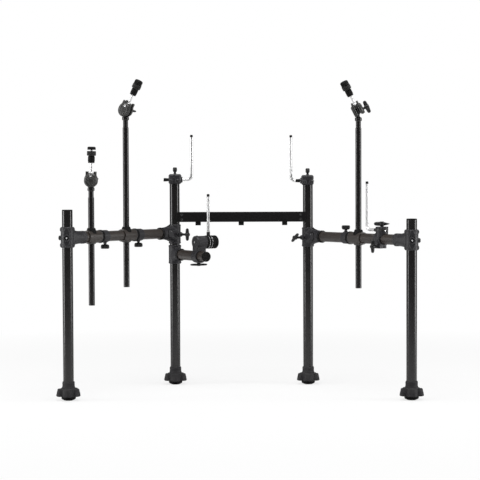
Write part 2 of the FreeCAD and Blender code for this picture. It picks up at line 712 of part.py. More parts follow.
def cymbal_nut(name):
    """The round nut at the top of the cymbal rod: it sits on the washer where nothing is mounted."""
    low = ARMS[name]["nut"]
    nut = lathe([(0, low), (NUT_R, low), (NUT_R, NUT_HIGH - 4), (NUT_R - 2.5, NUT_HIGH - 1),
                 (NUT_R - 7, NUT_HIGH), (0, NUT_HIGH)])
    nut = nut.cut(rod(TILT_ROD_R + RUN, low - 1, NUT_HIGH - 2.5))
    return on_tilter(nut, name)


def tom_frame(side):
    """The rod's height on the post's axis, with X towards the middle of the rack."""
    at = post_place(side, True)
    return V(at.x, at.y, TOM_ROD_Z[side]), V(-side, 0, 0)


def on_tom(shape, side):
    """Carries a shape whose X points at the rack's middle and whose Y points back."""
    at, inward = tom_frame(side)
    if side > 0:
        shape = shape.mirror(ORIGIN, Y_AXIS)
    return place(shape, at, Z_AXIS, inward)


def tom_holder(side):
    """The head on a centre post: it grips the post from above and holds a rod behind it."""
    low = -TOM_BODY_LOW
    high = TOM_BODY_HIGH
    body = block((-TOM_BODY_OUT, TOM_BODY_IN), (-TOM_BODY_FRONT, TOM_BODY_BACK), (low, high))
    body = body.makeFillet(TOM_CORNER, [e for e in body.Edges if e.BoundBox.ZLength > high])
    rims = [e for e in body.Edges if e.BoundBox.ZLength < 0.01]
    body = body.makeChamfer(TOM_CHAMFER, rims)
    body = body.fuse(rod(TOM_BOSS_R, 0, TOM_BOSS, X_AXIS, V(0, TOM_ROD_BACK, 0)))
    split = block((-1.2, 1.2), (-TOM_BODY_FRONT - 1, -TUBE_R + 1), (low - 1, high + 1))
    body = body.cut(split)
    body = body.cut(rod(TUBE_R + RUN, low - 1, CENTER_POST_TOP - TOM_ROD_Z[side] + 1))
    body = body.cut(rod(ROD_R + RUN, -TOM_BOSS - 9, TOM_BOSS + 9, X_AXIS, V(0, TOM_ROD_BACK, 0)))
    body = body.cut(rod(BOLT_R, 0, high + 1, Z_AXIS, V(0, TOM_ROD_BACK, 0)))
    return on_tom(body, side)


def bent_rod(foot, corner, top):
    """A round rod from a foot to a corner, round a bend, and on to its top."""
    first = (foot - corner).normalize()
    second = (top - corner).normalize()
    middle = (first + second).normalize()
    half_turn = (math.pi - first.getAngle(second)) / 2
    trim = ROD_BEND_R * math.tan(half_turn)
    centre = corner + middle * (ROD_BEND_R / math.cos(half_turn))
    start = corner + first * trim
    end = corner + second * trim
    arc = Part.Arc(start, centre - middle * ROD_BEND_R, end)
    tail = Part.LineSegment(foot, start)
    leg = Part.LineSegment(end, top)
    path = Part.Wire([tail.toShape(), arc.toShape(), leg.toShape()])
    profile = Part.Wire(Part.makeCircle(ROD_R, foot, corner - foot))
    return path.makePipeShell([profile], True, False)


def tom_rod(side):
    """The bent rod of a tom holder, with its rubber tip."""
    reach = TOM_ROD_REACH
    top = TOM_ROD_TOP[side] - TOM_ROD_Z[side]
    back = TOM_ROD_BACK
    tail = TOM_ROD_TAIL if side < 0 else TOM_BODY_OUT + 3
    shaft = bent_rod(V(-tail, back, 0), V(reach, back, 0), V(reach, back, top - ROD_TIP_L))
    tip = rod_tip(V(reach, back, top))
    return [on_tom(shape, side) for shape in (shaft, tip)]


def rod_tip(top):
    """A dark tip on the end of an upright rod."""
    cap = lathe([(0, RUN - ROD_TIP_L), (ROD_R, RUN - ROD_TIP_L), (ROD_R, -1.5), (ROD_R - 1.5, 0), (0, 0)])
    return place(cap, top)


def tom_collar(side):
    """The stop collar on a tom rod, beside its holder: outside on the left, inside on the right."""
    gap = SEAT_GAP
    if side < 0:
        low = -TOM_BODY_OUT - gap - MEMORY_COLLAR_L
    else:
        low = TOM_BOSS + gap
    length = MEMORY_COLLAR_L if side < 0 else MEMORY_COLLAR_L - 4
    collar = tube(MEMORY_COLLAR_R, ROD_R + RUN, low, low + length, X_AXIS, V(0, TOM_ROD_BACK, 0))
    return on_tom(collar, side)


def tom_bolt(side):
    """The wing bolt on top of a tom holder, seen edge on from the front."""
    high = TOM_BODY_HIGH
    bolt = wing_bolt(TOP_BOLT_NECK, high - ROD_R - SEAT_GAP, thickness=TOP_BOLT_T)
    return on_tom(place(bolt, V(0, TOM_ROD_BACK, high), Z_AXIS, Y_AXIS), side)


def snare_axis():
    turn = math.radians(SNARE_ANGLE)
    return V(math.cos(turn), math.sin(turn), 0)


def on_snare(shape, along=0):
    """Carries a shape whose X runs along the snare arm and whose Y points to the rack's middle."""
    at = post_place(-1, True) + snare_axis() * along
    at.z = SNARE_Z
    return place(shape, at, Z_AXIS, snare_axis())


def snare_clamp():
    """The clamp of the snare arm, under the left centre clamp."""
    half = SNARE_CLAMP_H / 2
    body = clamp(SNARE_CLAMP_R, SNARE_SOCKET, half, half)
    back = rod(CLAMP_BOSS_R - 2, TUBE_R + 1, SNARE_CLAMP_R + 4, V(-1, 0, 0))
    body = body.fuse(back).cut(rod(TUBE_R + RUN, -half, half))
    return on_snare(body)


def snare_tube():
    """The short arm tube and its end cap."""
    body = tube(TUBE_R, TUBE_R - TUBE_WALL, TUBE_STOP + 1, SNARE_REACH - SNARE_CAP_T, X_AXIS)
    end = SNARE_REACH - SNARE_CAP_T
    plug_r = TUBE_R - TUBE_WALL - RUN
    cap = lathe([(0, end - CAP_PLUG), (plug_r, end - CAP_PLUG), (plug_r, end + RUN), (TUBE_R, end + RUN),
                 (TUBE_R, SNARE_REACH - 1.5), (TUBE_R - 1.5, SNARE_REACH), (0, SNARE_REACH)])
    cap = place(cap, ORIGIN, X_AXIS, Y_AXIS)
    return [on_snare(body), on_snare(cap)]


def snare_bracket():
    """The bracket round the snare arm, with a boss above that carries the barrel."""
    half = BAND_W / 2
    body = rod(BAND_R, -half, half, X_AXIS)
    boss = rod(DRUM_R, BOSS_IN, BOSS_OUT, Y_AXIS, V(0, 0, DRUM_UP))
    web = block((-half, half), (BOSS_IN, BAND_R - 3), (0, DRUM_UP))
    seat = rod(HUB_R + 2, TUBE_R + 1, BAND_R + 0.5, V(0, 0, -1))
    body = body.fuse([web, seat]).fuse(boss)
    body = body.cut(rod(TUBE_R + RUN, -BAND_W, BAND_W, X_AXIS))
    drum_place = V(0, 0, DRUM_UP)
    body = body.cut(rod(BARREL_PIN_R + RUN, BARREL_PIN_LOW - SEAT_GAP, BOSS_OUT + 1, Y_AXIS, drum_place))
    body = body.cut(rod(BOLT_R, TUBE_R - 2, BAND_R + 1, V(0, 0, -1)))
    return on_snare(body.removeSplitter(), BAND_AT)


def snare_barrel():
    """The ribbed barrel that turns on the bracket and holds the snare rod."""
    low = BOSS_OUT + SEAT_GAP
    profile = [(0, BARREL_PIN_LOW), (BARREL_PIN_R, BARREL_PIN_LOW), (BARREL_PIN_R, low), (BARREL_R, low)]
    knob = BARREL_OUT - BARREL_KNOB
    inner = BARREL_R - BARREL_GROOVE
    pitch = (knob - low) / (BARREL_GROOVES + 1)
    for i in range(BARREL_GROOVES):
        at = low + pitch * (i + 1)
        profile += [(BARREL_R, at - 1), (inner, at - 1), (inner, at + 1), (BARREL_R, at + 1)]
    profile += [(BARREL_R, knob), (inner, knob + 2), (inner, knob + 4), (BARREL_R, knob + 5),
                (BARREL_R - 1, BARREL_OUT - 3), (BARREL_R - 4, BARREL_OUT), (0, BARREL_OUT)]
    body = place(lathe(profile), V(0, 0, DRUM_UP), Y_AXIS, X_AXIS)
    floor = DRUM_UP - BARREL_R + ROD_HOLE_FLOOR
    body = body.cut(rod(ROD_R + RUN, floor, DRUM_UP + BARREL_R + 1, Z_AXIS, V(0, BARREL_ROD_AT, 0)))
    return on_snare(body, BAND_AT)


def snare_rod():
    """The straight rod that stands in the barrel, with a stop above the barrel and a tip."""
    foot = DRUM_UP - BARREL_R + ROD_HOLE_FLOOR + SEAT_GAP
    top = SNARE_ROD_TOP - SNARE_Z
    stop = DRUM_UP + BARREL_R + SEAT_GAP
    at = V(0, BARREL_ROD_AT, 0)
    shaft = rod(ROD_R, foot, top - ROD_TIP_L, Z_AXIS, at)
    shaft = shaft.fuse(rod(MEMORY_COLLAR_R, stop, stop + SNARE_STOP_L, Z_AXIS, at))
    tip = rod_tip(V(0, BARREL_ROD_AT, top))
    return [on_snare(shape, BAND_AT) for shape in (shaft, tip)]


def snare_bolt():
    """The wing bolt under the snare bracket."""
    seat = BAND_R + 0.5
    bolt = wing_bolt(BAND_BOLT_NECK, seat - TUBE_R - SEAT_GAP, SNARE_BOLT_SPAN, SNARE_BOLT_DEPTH,
                     SNARE_BOLT_T)
    return on_snare(place(bolt, V(0, 0, -seat), V(0, 0, -1), V(0.3, 0.95, 0)), BAND_AT)


def on_holder(shape):
    """Carries a shape whose X runs out along the right side tube, at the rod holder."""
    return on_wing(shape, 1, HOLDER_AT)


def right_rod_holder():
    """The holder on the right side tube: a split band with a drum above it and pinch ears below."""
    half = HOLDER_BAND_W / 2
    y = (-HOLDER_EAR_BACK, HOLDER_EAR_FRONT)
    body = rod(HOLDER_BAND_R, -half, half, X_AXIS)
    reach = HOLDER_DRUM_AT + HOLDER_DRUM_R + 1
    drum_place = V(HOLDER_DRUM_AT, 0, 0)
    drum = rod(HOLDER_DRUM_R, 0, HOLDER_DRUM_TOP, Z_AXIS, drum_place)
    ear = block((-half, half), y, (-HOLDER_EAR_DROP, 0))
    body = body.fuse([drum, ear])
    body = body.cut(rod(TUBE_R + RUN, -reach, reach, X_AXIS))
    slot = (-HOLDER_SLOT / 2, HOLDER_SLOT / 2)
    body = body.cut(block((-half - 1, half + 1), slot, (-HOLDER_EAR_DROP - 1, -TUBE_R + 1)))
    body = body.cut(rod(ROD_R + RUN, -reach, reach, X_AXIS, V(0, 0, HOLDER_ROD_UP)))
    body = body.cut(rod(BOLT_R, HOLDER_ROD_UP, HOLDER_DRUM_TOP + 1, Z_AXIS, drum_place))
    body = body.cut(rod(BOLT_R, y[0] - 1, y[1] + 1, Y_AXIS, V(0, 0, -HOLDER_PINCH)))
    return on_holder(body.removeSplitter())


def right_rod():
    """The bent rod in the holder on the right side tube, with the stop collar beside the holder."""
    corner_x = HOLDER_ROD_AT - HOLDER_AT
    top = HOLDER_ROD_TOP - SIDE_TUBE_Z[1]
    corner = V(corner_x, 0, HOLDER_ROD_UP)
    shaft = bent_rod(V(HOLDER_ROD_TAIL, 0, HOLDER_ROD_UP), corner, V(corner_x, 0, top - ROD_TIP_L))
    tip = rod_tip(V(corner_x, 0, top))
    high = HOLDER_DRUM_AT - HOLDER_DRUM_R - SEAT_GAP
    collar = tube(MEMORY_COLLAR_R, ROD_R + RUN, high - HOLDER_COLLAR_L, high, X_AXIS, V(0, 0, HOLDER_ROD_UP))
    return [on_holder(shape) for shape in (shaft, tip, collar)]


def right_rod_bolt():
    """The wing bolt on top of the right rod holder."""
    reach = HOLDER_DRUM_TOP - HOLDER_ROD_UP - ROD_R - SEAT_GAP
    bolt = wing_bolt(HOLDER_BOLT_NECK, reach, span=HOLDER_BOLT_SPAN)
    return on_holder(place(bolt, V(HOLDER_DRUM_AT, 0, HOLDER_DRUM_TOP), Z_AXIS, V(0.82, -0.56, 0)))


def right_clamp_bolt():
    """The pinch bolt under the tube, whose wings hang upright in front of the ears."""
    reach = HOLDER_EAR_FRONT + HOLDER_EAR_BACK
    bolt = wing_bolt(PINCH_BOLT_NECK, reach, span=PINCH_BOLT_SPAN)
    return on_holder(place(bolt, V(0, HOLDER_EAR_FRONT, -HOLDER_PINCH), Y_AXIS, Z_AXIS))


def clamp_bolt(side):
    """The wing bolt of a centre clamp."""
    bolt = wing_bolt(CLAMP_BOLT_NECK, CLAMP_BOSS - TUBE_R - SEAT_GAP)
    across = Z_AXIS if side < 0 else V(0.75, 0, 0.66)
    return on_wing(place(bolt, V(0, CLAMP_BOSS, -CLAMP_BOLT_DROP), Y_AXIS, across), side, 0)


os.makedirs("parts", exist_ok=True)
SIDES = {"left": -1, "right": 1}

for word, side in SIDES.items():
    inner_place = post_place(side, True)
    outer_place = post_place(side, False)
    save("center_post_" + word, post(FOOT_FLOOR + RUN, CENTER_POST_TOP, inner_place))
    save("outer_post_" + word, post(FOOT_FLOOR + RUN, OUTER_POST_TOP[side] - CAP_T, outer_place),
         end_cap(outer_place, OUTER_POST_TOP[side] - CAP_T))
    save("outer_foot_" + word, star_foot(outer_place), foot_pad(outer_place))
    save("center_clamp_" + word, center_clamp(side))
    save("center_clamp_bolt_" + word, clamp_bolt(side))
    save("outer_clamp_" + word, outer_clamp(side))
    save("outer_clamp_screws_" + word, outer_clamp_screws(side))
    save("side_tube_" + word, side_tube(side))
    save("tom_holder_" + word, tom_holder(side))
    save("tom_rod_" + word, *tom_rod(side), tom_collar(side))
    save("tom_holder_bolt_" + word, tom_bolt(side))
    save("pole_clamps_" + word, *[pole_clamp(name) for name in ARMS if ARMS[name]["side"] == side])

inner_places = [post_place(side, True) for side in SIDES.values()]
save("center_feet", *[make(at) for at in inner_places for make in (star_foot, foot_pad)])
save("cross_bar", cross_bar())
save("cross_bar_screws", *cross_bar_screws())
save("cable_clips", *[cable_clip(x) for x in CLIP_X])

for name in ARMS:
    save("cymbal_pole_" + name, cymbal_pole(name))
    save("tilter_neck_" + name, tilter_neck(name))
    save("tilter_jaws_" + name, *tilter_jaws(name))
    save("tilt_rod_" + name, *tilt_rod(name))
    save("tilter_bolt_" + name, tilter_bolt(name))
    save("cymbal_nut_" + name, cymbal_nut(name))
    save("pole_knob_" + name, pole_knob(name))

save("snare_clamp", snare_clamp())
save("snare_tube", *snare_tube())
save("snare_bracket", snare_bracket())
save("snare_barrel", snare_barrel())
save("snare_rod", *snare_rod())
save("snare_bracket_bolt", snare_bolt())
save("right_rod_holder", right_rod_holder())
save("right_rod", *right_rod())
save("right_rod_bolt", right_rod_bolt())
save("right_clamp_bolt", right_clamp_bolt())
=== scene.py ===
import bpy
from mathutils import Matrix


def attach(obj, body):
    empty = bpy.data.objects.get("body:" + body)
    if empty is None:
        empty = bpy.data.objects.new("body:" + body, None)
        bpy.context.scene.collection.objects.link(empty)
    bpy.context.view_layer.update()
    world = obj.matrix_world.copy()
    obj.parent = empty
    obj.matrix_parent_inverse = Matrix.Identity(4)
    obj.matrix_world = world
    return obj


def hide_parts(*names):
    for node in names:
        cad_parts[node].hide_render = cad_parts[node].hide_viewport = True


bl_info = {
    "name": "Drum rack frame",
    "version": (1, 0, 0),
    "blender": (4, 5, 0),
    "location": "3D View > Sidebar > Rack",
    "description": "Dresses the frame of a drum rack: tubes, clamps, tilters, rods, feet and a plain studio",
    "category": "Object",
}

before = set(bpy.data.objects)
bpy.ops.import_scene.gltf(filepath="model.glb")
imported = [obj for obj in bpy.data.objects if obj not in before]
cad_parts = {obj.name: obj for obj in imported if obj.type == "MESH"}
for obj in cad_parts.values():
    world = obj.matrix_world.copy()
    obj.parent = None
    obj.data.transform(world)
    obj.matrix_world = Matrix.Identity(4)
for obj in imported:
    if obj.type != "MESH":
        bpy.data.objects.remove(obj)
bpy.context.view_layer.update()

import math
from collections import namedtuple

import bmesh
import bpy
from mathutils import Matrix, Vector

# Every shape is drawn in millimetres, in the axes of the part that it belongs to. MM brings it to metres.
MM = 0.001
X = Vector((1, 0, 0))
Y = Vector((0, 1, 0))
Z = Vector((0, 0, 1))
HERE = Matrix.Identity(4)

# Where the main axes of the rack are, as the frame has them
SIDES = {"left": -1, "right": 1}
CENTER_X = 256.5
CENTER_Y = 222.0
OUTER_X = 616.0
OUTER_Y = -232.0
TUBE_Z = {"left": 584.5, "right": 571.5}
CENTER_TOP = 799.0
OUTER_TOP = {"left": 685.5, "right": 649.5}
BAR_Z = 646.5
TOM_Z = {"left": 790.0, "right": 784.5}
TOM_TOP = {"left": 963.0, "right": 960.5}
SNARE_Z = 503.0
SNARE_ANGLE = -58.0
SNARE_BRACKET_AT = 186.0
SNARE_TUBE_END = 245.0
HOLDER_AT = 416.0

# Sizes that several pieces share
FIT = 0.08
POST_FLOOR = 19.08
TUBE_START = 28.0
TUBE_HOLE = 19.13
ROD_HOLE = 5.33
POLE_HOLE = 11.25
RING_BORE = 19.3
TIP = 9.0
BOLT_R = 3.92
HORN = 17.5

# The camera that took the photograph: its place, and its heading, dip and roll in degrees
CAMERA_AT = (105.3, -6118.4, 808.9)
CAMERA_TURN = (-0.998, 2.275, -0.220)

# The cymbal arms: place along the side tube, knob distance, pole ends, ball height, the rod's tilt and
# compass direction, whether the wing bolt lies behind the ball, and where the nut starts
Arm = namedtuple("Arm", "side along knob bottom top ball tilt lean behind nut")
ARMS = {
    "left_short": Arm("left", 457.0, 71.0, 334.0, 727.5, 788.5, 1.5, 0.0, True, 112.5),
    "left_tall": Arm("left", 272.0, 66.0, 391.0, 985.5, 1049.5, 29.0, -25.0, True, 108.3),
    "right": Arm("right", 293.0, 71.0, 385.5, 979.5, 1042.0, 30.0, 205.0, False, 108.3),
}


# ---- Sizes and colours that a user would change


def length(name, default, low, high, about):
    return bpy.props.FloatProperty(name=name, description=about, default=default, min=low, max=high,
                                   subtype="DISTANCE", unit="LENGTH")


def amount(name, default, low, high, about):
    return bpy.props.FloatProperty(name=name, description=about, default=default, min=low, max=high)


def colour(name, default, about):
    return bpy.props.FloatVectorProperty(name=name, description=about, default=default, size=3, min=0, max=1,
                                         subtype="COLOR")


class RackTubes(bpy.types.PropertyGroup):
    diameter: length("Tube diameter", 0.0381, 0.03, 0.05, "Outside of the posts, side tubes and snare arm")
    wall: length("Tube wall", 0.002, 0.001, 0.004, "Wall of the posts and the side tubes")
    pole: length("Pole diameter", 0.0222, 0.015, 0.03, "Outside diameter of the cymbal poles")
    pole_wall: length("Pole wall", 0.0015, 0.001, 0.003, "Wall of the cymbal poles")
    rod: length("Holder rod diameter", 0.0105, 0.008, 0.014, "Diameter of the bent rods and of the snare rod")
    tilt_rod: length("Cymbal rod diameter", 0.008, 0.006, 0.01, "Diameter of the rods that carry the cymbals")
    bend: length("Rod bend", 0.016, 0.012, 0.03, "Radius of the bend of a holder rod, on its axis")


class RackCastings(bpy.types.PropertyGroup):
    grain: length("Casting step", 0.001, 0.0005, 0.003, "Mesh step of cast pieces; edges are about as round")
    soften: bpy.props.IntProperty(name="Edge softening", default=3, min=0, max=12,
                                  description="How many times the cast edges are smoothed")
    thread_pitch: length("Thread pitch", 0.00125, 0.0008, 0.003, "Pitch of the bolts and the cymbal rods")


class RackFinishes(bpy.types.PropertyGroup):
    enamel: colour("Post paint", (0.0078, 0.0070, 0.0070), "Gloss black paint of the posts and the poles")
    satin: colour("Side tube paint", (0.029, 0.0232, 0.0200), "Satin paint of the side tubes and snare arm")
    flat: colour("Bar paint", (0.0042, 0.0038, 0.0040), "Flat black paint of the cross bar")
    charcoal: colour("Clamp plastic", (0.0165, 0.0158, 0.0185), "Charcoal moulding of the clamps")
    wing: colour("Wing bolt black", (0.008, 0.008, 0.0085), "Black casting of the wing bolts and knobs")
    casting: colour("Tilter casting", (0.026, 0.026, 0.025), "Dark metal of the cymbal tilters")
    rubber: colour("Foot rubber", (0.0165, 0.0158, 0.0175), "Charcoal rubber of the feet")
    sleeve: colour("Sleeve black", (0.0035, 0.0035, 0.0035), "Black of the pads, sleeves, caps and clips")
    chrome: colour("Chrome", (0.82, 0.82, 0.82), "Bright plating of the rods")
    steel: colour("Screw steel", (0.62, 0.62, 0.63), "Zinc plating of the screws")


class RackStudio(bpy.types.PropertyGroup):
    focal: amount("Focal length", 123.5, 20, 300, "Lens of the camera on a 36 mm sensor, in millimetres")
    side_light: amount("Side lamps", 55.0, 0, 2000, "Power of each tall lamp beside the rack, in watts")
    top_light: amount("Top lamp", 120.0, 0, 2000, "Power of the lamp above the rack, in watts")
    fill: amount("Room light", 0.25, 0, 2, "Strength of the even light from all round")


def tubes():
    return bpy.context.scene.rack_tubes


def castings():
    return bpy.context.scene.rack_castings


def tube_radii():
    """The outside and inside radius of the posts and the side tubes."""
    radius = tubes().diameter / MM / 2
    return radius, radius - tubes().wall / MM


# ---- Finishes


class Wire:
    """A socket of a shader tree, on which maths is written as plain sums."""

    def __init__(self, nodes, socket):
        self.nodes = nodes
        self.socket = socket

    def sum(self, operation, first, second):
        return self.nodes.add("ShaderNodeMath", {"operation": operation}, {0: first, 1: second})

    def __add__(self, other):
        return self.sum("ADD", self, other)

    def __radd__(self, other):
        return self.sum("ADD", other, self)

    def __sub__(self, other):
        return self.sum("SUBTRACT", self, other)

    def __rsub__(self, other):
        return self.sum("SUBTRACT", other, self)

    def __mul__(self, other):
        return self.sum("MULTIPLY", self, other)

    def __rmul__(self, other):
        return self.sum("MULTIPLY", other, self)


class Nodes:
    """A shader tree under construction."""

    def __init__(self, tree):
        self.tree = tree
        tree.nodes.clear()

    def add(self, kind, settings=None, sockets=None, output=0):
        """One node: its settings first, then the values or links of its sockets."""
        node = self.tree.nodes.new(kind)
        for key, value in (settings or {}).items():
            setattr(node, key, value)
        for key, value in (sockets or {}).items():
            if isinstance(value, Wire):
                self.tree.links.new(value.socket, node.inputs[key])
            else:
                node.inputs[key].default_value = value
        return Wire(self, node.outputs[output]) if len(node.outputs) else None

    def ramp(self, value, low, high, first=0.0, last=1.0):
        """first below low, last above high, and a straight slope between them."""
        return self.add("ShaderNodeMapRange", {"clamp": True},
                        {"Value": value, "From Min": low, "From Max": high, "To Min": first, "To Max": last})

    def ray(self, kind):
        return self.add("ShaderNodeLightPath", output=f"Is {kind} Ray")

    def mix_shaders(self, share, first, second):
        return self.add("ShaderNodeMixShader", {}, {0: share, 1: first, 2: second})


class Finish(Nodes):
    """A material. Its patterns are in metres, on the piece's own place in the rack."""

    def __init__(self, name):
        self.material = bpy.data.materials.new(name)
        self.material.use_nodes = True
        super().__init__(self.material.node_tree)
        self.place = self.add("ShaderNodeTexCoord", output="Object")

    def noise(self, size, detail=2.0, rough=0.5, stretch=None):
        """Noise from 0 to 1 whose spots are about size metres across."""
        place = self.place
        if stretch:
            place = self.add("ShaderNodeMapping", {}, {"Vector": place, "Scale": stretch})
        return self.add("ShaderNodeTexNoise", {},
                        {"Vector": place, "Scale": 1 / size, "Detail": detail, "Roughness": rough})

    def mix(self, share, first, second):
        """A colour between two, by share."""
        return self.add("ShaderNodeMix", {"data_type": "RGBA"}, {0: share, 6: first, 7: second}, output=2)

    def edges(self, low=0.515, high=0.58):
        """1 on sharp outer edges, 0 on the flats and in the hollows."""
        return self.ramp(self.add("ShaderNodeNewGeometry", output="Pointiness"), low, high)

    def hollows(self, low=0.40, high=0.48):
        """1 in the hollows, 0 elsewhere."""
        return 1 - self.ramp(self.add("ShaderNodeNewGeometry", output="Pointiness"), low, high)

    def bump(self, height, depth, strength=1.0):
        return self.add("ShaderNodeBump", {}, {"Height": height, "Distance": depth, "Strength": strength})

    def done(self, color, roughness, metallic=0.0, normal=None, **constants):
        """Closes the tree with the shader; constants are set on its own sockets."""
        shader = self.add("ShaderNodeBsdfPrincipled", {}, {"Base Color": color, "Roughness": roughness,
                                                           "Metallic": metallic})
        node = shader.socket.node
        if normal:
            self.tree.links.new(normal.socket, node.inputs["Normal"])
        for key, value in constants.items():
            node.inputs[key.replace("_", " ")].default_value = value
        self.add("ShaderNodeOutputMaterial", {}, {"Surface": shader})
        return self.material


def rgba(color, factor=1.0):
    return (color[0] * factor, color[1] * factor, color[2] * factor, 1.0)


def gloss_paint(color):
    """Gloss black enamel: a faint orange peel, dust and dulled patches."""
    f = Finish("gloss_black_enamel")
    peel = f.noise(0.0028, 2.0) * 0.7 + f.noise(0.011, 1.0) * 0.3
    dull = f.ramp(f.noise(0.07, 4.0, 0.6), 0.45, 0.75)
    specks = f.ramp(f.noise(0.0011, 1.0), 0.76, 0.84)
    worn = f.edges(0.56, 0.70)
    tone = f.mix(dull, rgba(color), rgba(color, 1.7))
    tone = f.mix(specks * 0.25, tone, rgba(color, 5.0))
    tone = f.mix(worn * 0.5, tone, (0.09, 0.09, 0.09, 1))
    roughness = 0.17 + dull * 0.05 + specks * 0.10 + worn * 0.15
    return f.done(tone, roughness, normal=f.bump(peel, 0.00003, 0.15))


def satin_paint(color):
    """Satin brown-black paint of the side tubes, with a fine powder grain and rub marks along them."""
    f = Finish("satin_tube_paint")
    grain = f.noise(0.0009, 3.0, 0.7)
    cloud = f.noise(0.045, 4.0, 0.6)
    rub = f.ramp(f.noise(0.02, 5.0, 0.7), 0.60, 0.80)
    worn = f.edges(0.56, 0.68)
    tone = f.mix(cloud, rgba(color, 0.75), rgba(color, 1.35))
    tone = f.mix(rub * 0.4, tone, rgba(color, 2.0))
    tone = f.mix(worn * 0.5, tone, (0.14, 0.13, 0.12, 1))
    roughness = 0.30 + grain * 0.08 + rub * 0.06
    return f.done(tone, roughness, normal=f.bump(grain, 0.00012, 0.35))


def flat_paint(color):
    """Flat black powder coat of the cross bar."""
    f = Finish("flat_black_bar_paint")
    grain = f.noise(0.0007, 4.0, 0.75)
    cloud = f.noise(0.06, 4.0, 0.6)
    worn = f.edges(0.55, 0.68)
    tone = f.mix(cloud, rgba(color, 0.7), rgba(color, 1.6))
    tone = f.mix(worn * 0.55, tone, (0.07, 0.07, 0.07, 1))
    return f.done(tone, 0.48 + grain * 0.14, normal=f.bump(grain, 0.00018, 0.5), Specular_IOR_Level=0.16)


def moulding(name, color, grain_size, roughness, edge_highlight_tone, mottle=0.5, metallic=0.0, gleam=0.4):
    """A moulded or cast surface: grain, mottled tone, sharp edges painted paler as a highlight, and hollows
    painted darker as shade and made rougher.
    """
    f = Finish(name)
    grain = f.noise(grain_size, 3.0, 0.65)
    coarse = f.noise(grain_size * 7, 3.0, 0.6)
    cloud = f.ramp(f.noise(0.018, 4.0, 0.65), 0.3, 0.7)
    edge = f.edges() * (0.55 + coarse * 0.45)
    shaded_hollow = f.hollows()
    tone = f.mix(cloud * mottle, rgba(color, 0.85), rgba(color, 1.6))
    # painted highlight: the sharp edges take the paler edge colour
    tone = f.mix(edge, tone, rgba(edge_highlight_tone))
    # painted shade: the hollows are darkened
    tone = f.mix(shaded_hollow * 0.6, tone, rgba(color, 0.45))
    rough = roughness + grain * 0.12 - edge * 0.10 + shaded_hollow * 0.12
    shine = metallic if metallic == 0 else metallic * (0.6 + edge * 0.4)
    relief = f.bump(grain * 0.7 + coarse * 0.3, 0.00025, 0.6)
    return f.done(tone, rough, shine, relief, Specular_IOR_Level=gleam)


def foot_rubber(color):
    """Charcoal rubber: a fine sandy face, scuffs and patches of dust."""
    f = Finish("foot_rubber")
    sand = f.noise(0.0011, 4.0, 0.8)
    scuff = f.ramp(f.noise(0.013, 5.0, 0.7, (1, 1, 0.35)), 0.55, 0.78)
    dust = f.ramp(f.noise(0.03, 4.0, 0.6), 0.4, 0.8)
    edge = f.edges(0.53, 0.66)
    tone = f.mix(sand, rgba(color, 0.65), rgba(color, 1.45))
    tone = f.mix(scuff * 0.35, tone, rgba(color, 2.4))
    tone = f.mix(dust * 0.18, tone, (0.10, 0.095, 0.09, 1))
    tone = f.mix(edge * 0.35, tone, rgba(color, 2.6))
    return f.done(tone, 0.62 + sand * 0.18, normal=f.bump(sand, 0.00035, 0.6), Specular_IOR_Level=0.3)


def chrome_plate(color):
    """Softly bright chrome with a faint haze and a few dull spots."""
    f = Finish("chrome_plate")
    brushed = f.noise(0.006, 2.0, 0.5)
    haze = f.ramp(f.noise(0.035, 4.0, 0.6), 0.45, 0.8)
    spots = f.ramp(f.noise(0.0014, 1.0), 0.78, 0.84)
    tone = f.mix(haze * 0.5, rgba(color), rgba(color, 0.88))
    tone = f.mix(spots * 0.2, tone, rgba(color, 0.5))
    roughness = 0.29 + haze * 0.05 + brushed * 0.04 + spots * 0.1
    return f.done(tone, roughness, 1.0, f.bump(brushed, 0.00001, 0.1))


def screw_steel(color):
    """Zinc-plated steel of screws and cut threads."""
    f = Finish("zinc_screw_steel")
    grain = f.noise(0.0006, 3.0, 0.6)
    tint = f.noise(0.006, 2.0)
    edge = f.edges(0.54, 0.66)
    tone = f.mix(tint, rgba(color, 0.75), rgba(color, 1.1))
    tone = f.mix(edge * 0.5, tone, (0.9, 0.9, 0.9, 1))
    return f.done(tone, 0.24 + grain * 0.16, 1.0, f.bump(grain, 0.00008, 0.4))


def dark_steel():
    """Blackened steel of bolt threads."""
    f = Finish("black_thread_steel")
    grain = f.noise(0.0006, 3.0, 0.6)
    edge = f.edges(0.54, 0.66)
    tone = f.mix(edge, (0.03, 0.03, 0.031, 1), (0.2, 0.2, 0.2, 1))
    return f.done(tone, 0.34 + grain * 0.14, 0.7, f.bump(grain, 0.0001, 0.4))


def felt(color):
    """Pressed black felt of the cymbal seats."""
    f = Finish("black_felt")
    fibre = f.noise(0.0009, 6.0, 0.9, (1, 1, 3))
    clump = f.noise(0.005, 3.0, 0.6)
    tone = f.mix(fibre, rgba(color, 0.6), rgba(color, 2.1))
    tone = f.mix(clump * 0.3, tone, rgba(color, 2.8))
    return f.done(tone, 0.86 + fibre * 0.1, normal=f.bump(fibre, 0.0007, 0.7), Sheen_Weight=0.15)


FINISHES = {}


